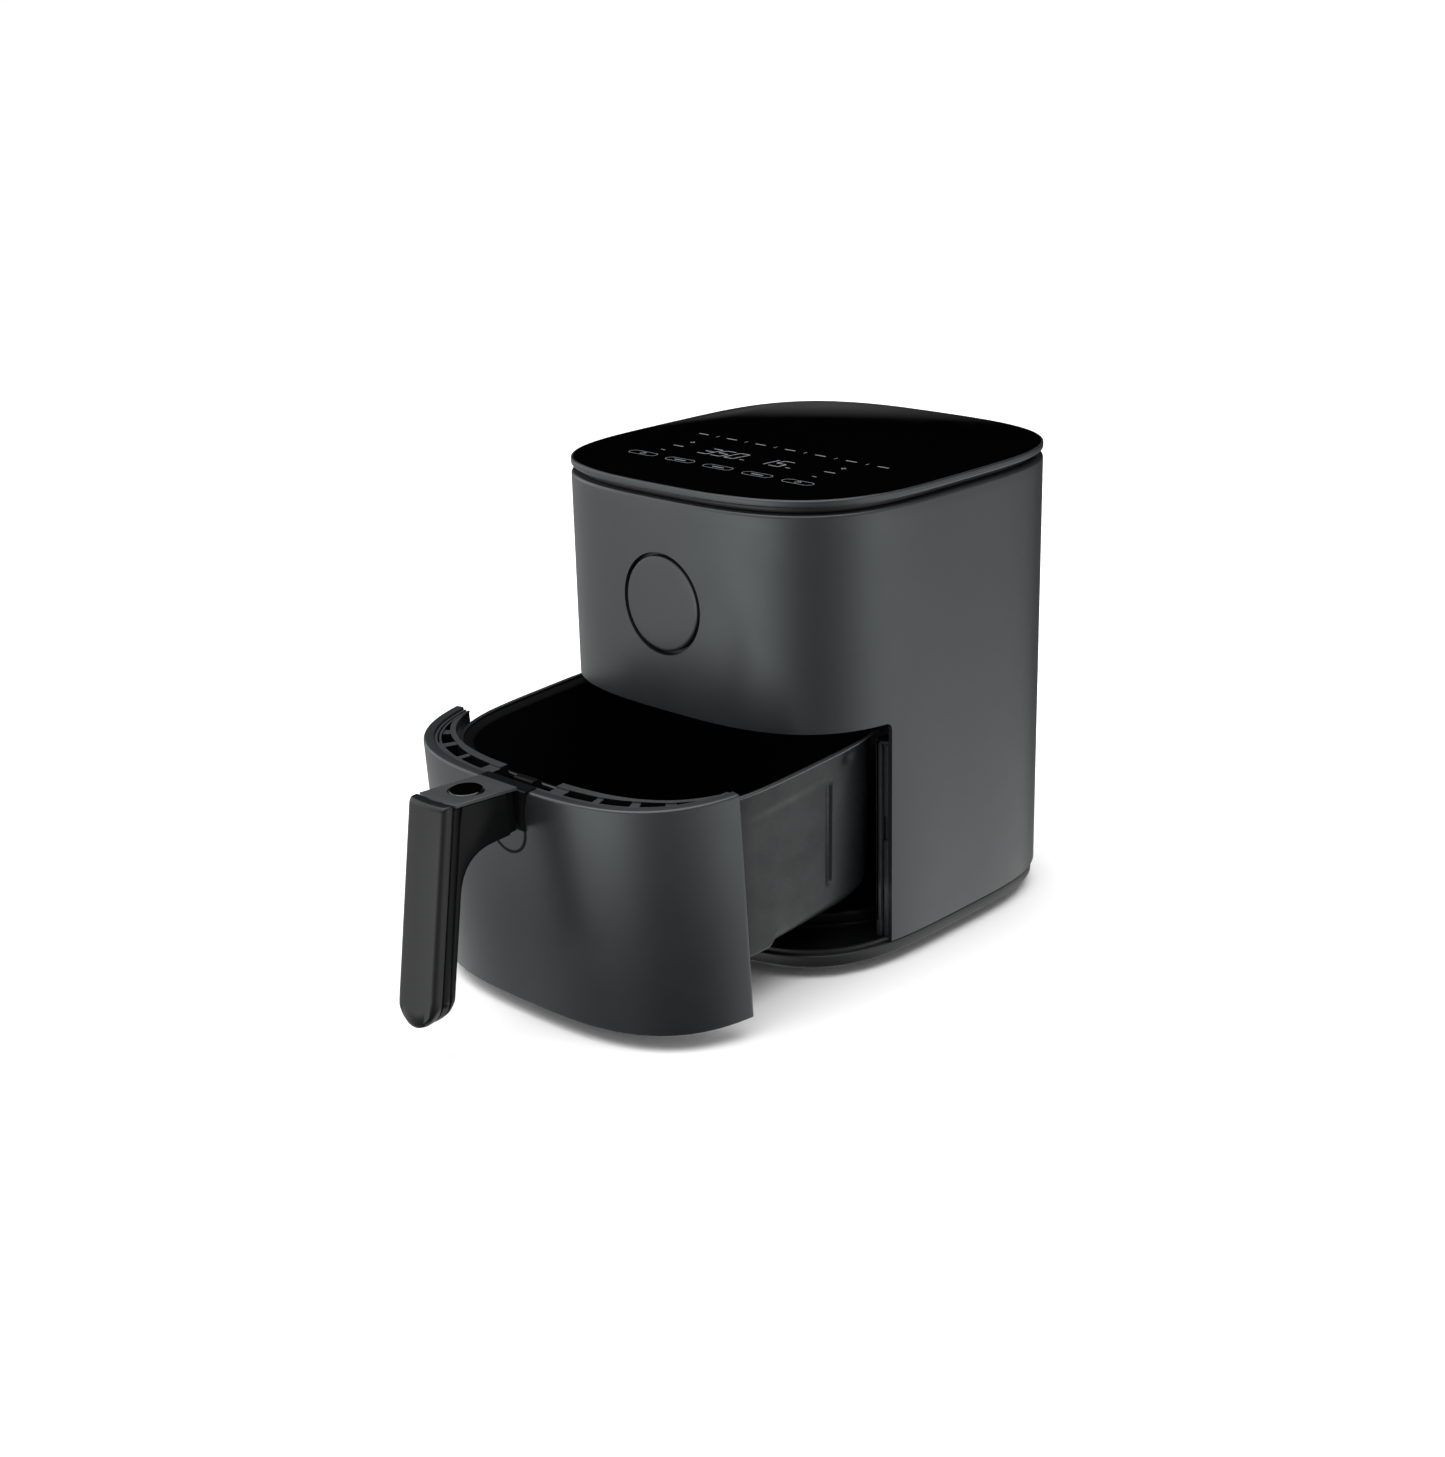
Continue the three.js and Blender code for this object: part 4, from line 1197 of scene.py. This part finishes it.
def lofted_across(outline_at, half, steps=28):
    """Closed outlines in (y, z), one for each x from -half to half, denser at the sides."""
    sections = []
    for k in range(steps + 1):
        x = -half * math.cos(math.pi * k / steps)
        sections.append([Vector((x, y, z)) for y, z in outline_at(x)])
    return skin(sections)


def side_round(x, half, radius):
    """How far a surface draws back near the sides of the handle."""
    past = abs(x) - (half - radius)
    if past <= 0:
        return 0.0
    return radius - math.sqrt(max(0.0, radius**2 - min(past, radius) ** 2))


def grip_line(depth, heights):
    """A line up the grip, this far ahead of its back face."""
    return [(grip_face(z, depth), z) for z in heights]


def grip_cover():
    """The front half of the grip, with a crowned face and a rounded top."""

    def outline(x):
        start = COVER_START
        end = COVER_END - 1.7 * (x / HANDLE_HALF) ** 2 - side_round(x, HANDLE_HALF, 3.2)
        low = lowest(x)
        crest = arm_top(ARM_END) - 0.5 - 0.8 * side_round(x, HANDLE_HALF, 1.5)
        heights = [low + 0.6] + [low + 3 + (crest - 6 - low) * k / 16 for k in range(17)]
        points = grip_line(start + 0.3, [low + 0.2]) + grip_line((start + end) / 2, [low])
        for z in heights:
            points += grip_line(end - 2.0 * max(0.0, 1 - (z - low) / 3), [z])
        for u, v in arc((end - 2.6, crest - 2.6), 2.6, 0, 90, 6)[1:]:
            points += grip_line(u, [v])
        return points + grip_line(start + 0.4, [crest - 0.1]) + grip_line(start, [crest - 0.6])

    mesh = lofted_across(outline, HANDLE_HALF)
    build("grip_cover", mesh, "cover_plastic", ["handle_cover"], "drawer", sharp=40)


def grip_seam():
    half = HANDLE_HALF - 0.9

    def outline(x):
        levels = [lowest(x * HANDLE_HALF / half) + 1.0, arm_top(ARM_END) - 4]
        back = grip_line(SEAM_START - 0.3, levels)
        front = grip_line(COVER_START + 0.3, levels)
        return [back[0], *front, back[1]]

    mesh = lofted_across(outline, half, 24)
    build("grip_seam", mesh, "rubber", ["handle_seam"], "drawer", sharp=60)


def grip_middle():
    """The slab between the seam and the arm's own half of the grip."""

    def outline(x):
        edge = side_round(x, HANDLE_HALF, 0.7)
        crest = arm_top(grip_face(arm_top(ARM_END), SEAM_START)) - 2.6
        heights = stations(lowest(x) + 0.3, crest, 16)
        front = grip_line(SEAM_START - edge, heights)
        return front + grip_line(ARM_LAYER + 0.25 + edge, heights)[::-1]

    mesh = lofted_across(outline, HANDLE_HALF)
    build("grip_middle", mesh, "handle_plastic", (), "drawer", sharp=40)


def handle_arm():
    """The arm from the drawer's front, which bends down into the back half of the grip."""
    under = ARM_UNDERSIDE
    face = grip_face(under)
    first = Vector((grip_face(under - ARM_BEND), under - ARM_BEND))
    corner = Vector((face, under))
    last = Vector((face + ARM_BEND, under))

    def outline(x):
        edge = side_round(x, HANDLE_HALF, 1.6)
        front = ARM_LAYER - side_round(x, HANDLE_HALF, 0.5)
        low = lowest(x) + 0.6
        root = ARM_ROOT - 8.0 * smooth_step(abs(x), 12.4, 13.4)
        end = grip_face(arm_top(ARM_END), front)
        points = [(root, under + edge), (root, arm_top(root) - 2.6), (end, arm_top(end) - 2.6)]
        points += grip_line(front, stations(arm_top(end) - 12, low + 6, 14))
        points += grip_line(ARM_LAYER - 1.2, [low]) + grip_line(1.6 + edge, [low + 0.4])
        points += grip_line(edge, [low + 2.6] + stations(low + 5, under - ARM_BEND - 2, 14))
        for k in range(9):
            t = k / 8
            point = first * (1 - t) ** 2 + corner * 2 * t * (1 - t) + last * t * t
            out = Vector((1 - t, -t)).normalized() * edge
            points.append((point.x - out.x, point.y - out.y))
        return points

    mesh = lofted_across(outline, HANDLE_HALF)
    build("handle_arm", mesh, "handle_plastic", ["handle_body"], "drawer", sharp=40)


def top_plate():
    """The flat plate on the arm, with an arc at its front end and a hole for the button."""
    front = grip_face(ARM_TOP_END, 8.6)
    half, root, bow = HANDLE_HALF - 0.15, ARM_ROOT + 0.4, 3.6
    outline = [(-half, root), (half, root)]
    for x in stations(half, -half, 12):
        outline.append((x, front - bow * (1 - (x / HANDLE_HALF) ** 2)))
    hole = ring_of((0, BUTTON_Y), BUTTON_RADIUS + 0.6, 64)
    mesh = fill_outlines([outline, hole], 2.2, 0.35)
    for vert in mesh.verts:
        vert.co.z += arm_top(vert.co.y) - 1.1
    build("arm_top_plate", mesh, "arm_plastic", ["handle_top"], "drawer", sharp=50)


def release_button():
    top = arm_top(BUTTON_Y) + 0.9
    radius = BUTTON_RADIUS
    profile = [(radius, top - 6)] + arc((radius - 1.1, top - 1.1), 1.1, 0, 90, 6)
    profile += [(radius - 1.8, top - 0.03), (radius - 2.6, top - 0.08)]
    profile += [(5, top - 0.13), (2, top - 0.14)]
    mesh = stacked(profile, (0, BUTTON_Y), 72)
    build("button", mesh, "gloss_black", ["release_button"], "release_button")


def return_spring():
    """The coil spring under the button, which shortens as the button goes down; it is drawn as one still coil."""
    bottom, top = arm_top(BUTTON_Y) - 13.6, arm_top(BUTTON_Y) - 5.5
    wire, radius, turns, steps = 0.4, 5.0, 4.5, 144
    sections = []
    for k in range(steps + 1):
        swing = 2 * math.pi * turns * k / steps
        outward = Vector((math.cos(swing), math.sin(swing), 0))
        z = bottom + wire + (top - bottom - 2 * wire) * k / steps
        centre = Vector((0, BUTTON_Y, z)) + outward * radius
        ring = ring_of((0, 0), wire, 10)
        sections.append([centre + outward * u + Vector((0, 0, v)) for u, v in ring])
    spring = build("return_spring", skin(sections), "steel", ["button_spring"], "drawer")
    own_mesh(spring)


def tongue():
    """The arm's root: a dark plate that runs over the lip, and a line round its lower end."""
    wide, half, low, seat = 21.0, 16.0, 116.5, 134.0
    top = FRONT_TOP + 0.9
    flare = []
    for k in range(9):
        t = k / 8
        u = (1 - t) ** 2 * wide + 2 * t * (1 - t) * (half + 0.5) + t * t * half
        v = (1 - t) ** 2 * top + 2 * t * (1 - t) * 150 + t * t * 140
        flare.append((u, v))
    mirrored = [(-u, v) for u, v in reversed(flare)]

    def on_front(outline, inset, proud):
        """The shrunk outline, this far proud of the drawer's front."""
        return [Vector((x, casing.depth(x) - proud, z)) for x, z in shrunk(outline, inset)]

    upper = flare + [(half, seat), (-half, seat)] + mirrored
    steps = ((0, -0.4), (0, 1.0), (0.4, 1.8), (1.0, 2.2), (3, 2.4), (9, 2.5))
    plate = skin([on_front(upper, *step) for step in steps])
    # The line round the lower end is a thin black ring just proud of the front, in place of the gap round the
    # plate: painted shade of that gap.
    whole = flare + arc((0, low + half), half, 0, -180, 24) + mirrored
    steps = ((0, -0.3), (0, 0.22), (1.8, 0.22), (1.8, -0.3))
    ring = skin(list(zip(*[on_front(whole, *step) for step in steps])), ring=True)
    bridge = boxes(((-wide, -HALF_DEPTH - 0.4, FRONT_TOP + 0.05), (wide, -HALF_DEPTH + 7, top)))
    mesh = joined_mesh(plate, ring, bridge)
    build("tongue_plate", mesh, "handle_plastic", ["handle_tongue"], "drawer", sharp=40)


def latch():
    """The catch in the notch of the frame, with its nose towards the pan."""
    outline = [(-121, 140, 0.5), (-121, 157.6, 1.5), (-116, 157.6, 1.2)]
    outline += [(-113.4, 154.5, 0.8), (-113.4, 140, 0.5)]
    block = prism(rounded(outline, 4), -8, 8, "x")
    outline = [(-114, 152.4, 0.3), (-114, 157, 0.5), (-111.8, 154, 0.5), (-111.8, 152.4, 0.3)]
    nose = prism(rounded(outline, 3), -5, 5, "x")
    mesh = joined_mesh(block, nose)
    piece = build("catch", mesh, "handle_plastic", ["pan_latch"], "pan_latch", "gloss_black")
    bevelled(piece, 0.4, 2)


outer_shell()
badge_disc()
neck()
lid()
panel_marks()
base()
drawer_floor()
guide(-1)
guide(1)
rear_vent()
cord_inlet()
feet()
drawer_front()
drawer_frame()
pan()
crisper_plate()
grip_cover()
grip_seam()
grip_middle()
handle_arm()
top_plate()
release_button()
return_spring()
tongue()
latch()

# ---- The rest of the CAD frame

SLOT_MATERIALS = {part["node"]: part["material_slot"] for part in frame["record"]["subparts"]}


def dress_frame():
    """Gives every CAD node that still shows its slot's material."""
    for name, node in frame["nodes"].items():
        node.data.materials.clear()
        node.data.materials.append(MATERIALS[SLOT_MATERIALS[name]])


dress_frame()

# ---- Light and floor

# How bright the studio is in each direction, as (azimuth, level). Azimuth is in degrees from
# -Y towards +X, so soft boxes stand at the front left and at the right, with a dark gap between.
LOW_BAND = (
    *((-180, 0.40), (-135, 1.20), (-90, 1.35), (-60, 0.40), (-40, 0.12), (-20, 0.16)),
    *((-5, 0.20), (8, 0.12), (24, 0.00), (60, 0.00), (85, 0.00), (106, 0.22)),
    *((122, 1.00), (140, 2.00), (160, 2.60), (180, 0.90)),
)
MIDDLE_BAND = (
    *((-180, 0.05), (-130, 0.30), (-100, 0.65), (-75, 0.72), (-50, 1.20), (-30, 2.90)),
    *((-8, 4.20), (10, 2.60), (26, 0.80), (48, 0.50), (66, 0.70), (90, 1.50)),
    *((106, 2.70), (120, 2.30), (136, 1.05), (155, 0.75), (180, 0.05)),
)
HIGH_BAND = (
    *((-180, 0.00), (-118, 0.00), (-106, 0.00), (-94, 2.00), (-72, 2.00), (-50, 1.90)),
    *((-34, 1.50), (-12, 1.50), (10, 0.95), (35, 0.20), (70, 0.30), (100, 1.20)),
    *((125, 0.90), (145, 0.00), (180, 0.00)),
)
# A colour ramp holds levels up to 1, so they are divided by this and the light multiplied by it.
BRIGHTEST = 5.0
SUN_STRENGTH = 3.6
SUN_SPREAD = 75
FLOOR_GREY = 0.93


def add_floor():
    mesh = bmesh.new()
    bmesh.ops.create_grid(mesh, x_segments=1, y_segments=1, size=60)
    data = bpy.data.meshes.new("floor")
    mesh.to_mesh(data)
    mesh.free()
    data.materials.append(Recipe("floor", (FLOOR_GREY, FLOOR_GREY, FLOOR_GREY), 0.9).material)
    floor = bpy.data.objects.new("floor", data)
    floor.visible_glossy = False
    bpy.context.scene.collection.objects.link(floor)


def add_sun():
    """One wide soft light from straight above."""
    data = bpy.data.lights.new("overhead", "SUN")
    data.energy = SUN_STRENGTH
    data.angle = math.radians(SUN_SPREAD)
    light = bpy.data.objects.new("overhead", data)
    bpy.context.scene.collection.objects.link(light)


def add_world():
    """White to the eye, and a studio with soft boxes all round to the surfaces."""
    world = bpy.data.worlds.new("world")
    world.use_nodes = True
    world.node_tree.nodes.clear()
    nodes = Nodes(world.node_tree)
    node, link = nodes.node, nodes.link

    axes = node("ShaderNodeSeparateXYZ")
    link(node("ShaderNodeTexCoord").outputs["Generated"], axes.inputs["Vector"])
    forward = node("ShaderNodeMath", {1: -1}, operation="MULTIPLY")
    link(axes.outputs["Y"], forward.inputs[0])
    azimuth = node("ShaderNodeMath", operation="ARCTAN2")
    link(axes.outputs["X"], azimuth.inputs[0])
    link(forward.outputs[0], azimuth.inputs[1])
    turn = node("ShaderNodeMapRange", {"From Min": -math.pi, "From Max": math.pi})
    link(azimuth.outputs[0], turn.inputs["Value"])

    def band(levels):
        """The brightness all round, from a smooth ramp through the levels."""
        ramp = node("ShaderNodeValToRGB")
        ramp.color_ramp.interpolation = "B_SPLINE"
        stops = ramp.color_ramp.elements
        for angle, level in levels[1:-1]:
            stops.new((angle + 180) / 360)
        for stop, (angle, level) in zip(stops, levels):
            stop.color = (*[level / BRIGHTEST] * 3, 1)
        link(turn.outputs["Result"], ramp.inputs["Fac"])
        return ramp.outputs["Color"]

    def between(lower, upper, start, end):
        """Goes from one to the other between two elevations, in degrees."""
        mix = node("ShaderNodeMix", data_type="RGBA")
        low, high = math.sin(math.radians(start)), math.sin(math.radians(end))
        height = node("ShaderNodeMapRange", {"From Min": low, "From Max": high})
        link(axes.outputs["Z"], height.inputs["Value"])
        link(height.outputs["Result"], mix.inputs["Factor"])
        link(lower, mix.inputs["A"])
        link(upper, mix.inputs["B"])
        return mix.outputs["Result"]

    studio = between(band(LOW_BAND), band(MIDDLE_BAND), -26, -19)
    studio = between(studio, band(HIGH_BAND), -6, 4)
    room = node("ShaderNodeBackground", {"Strength": BRIGHTEST})
    link(studio, room.inputs["Color"])
    seen = node("ShaderNodeBackground", {"Color": (1, 1, 1, 1)})
    mix = node("ShaderNodeMixShader")
    link(node("ShaderNodeLightPath").outputs["Is Camera Ray"], mix.inputs["Fac"])
    link(room.outputs[0], mix.inputs[1])
    link(seen.outputs[0], mix.inputs[2])
    link(mix.outputs[0], node("ShaderNodeOutputWorld").inputs["Surface"])
    bpy.context.scene.world = world


bpy.context.scene.view_settings.view_transform = "Standard"
add_floor()
add_sun()
add_world()
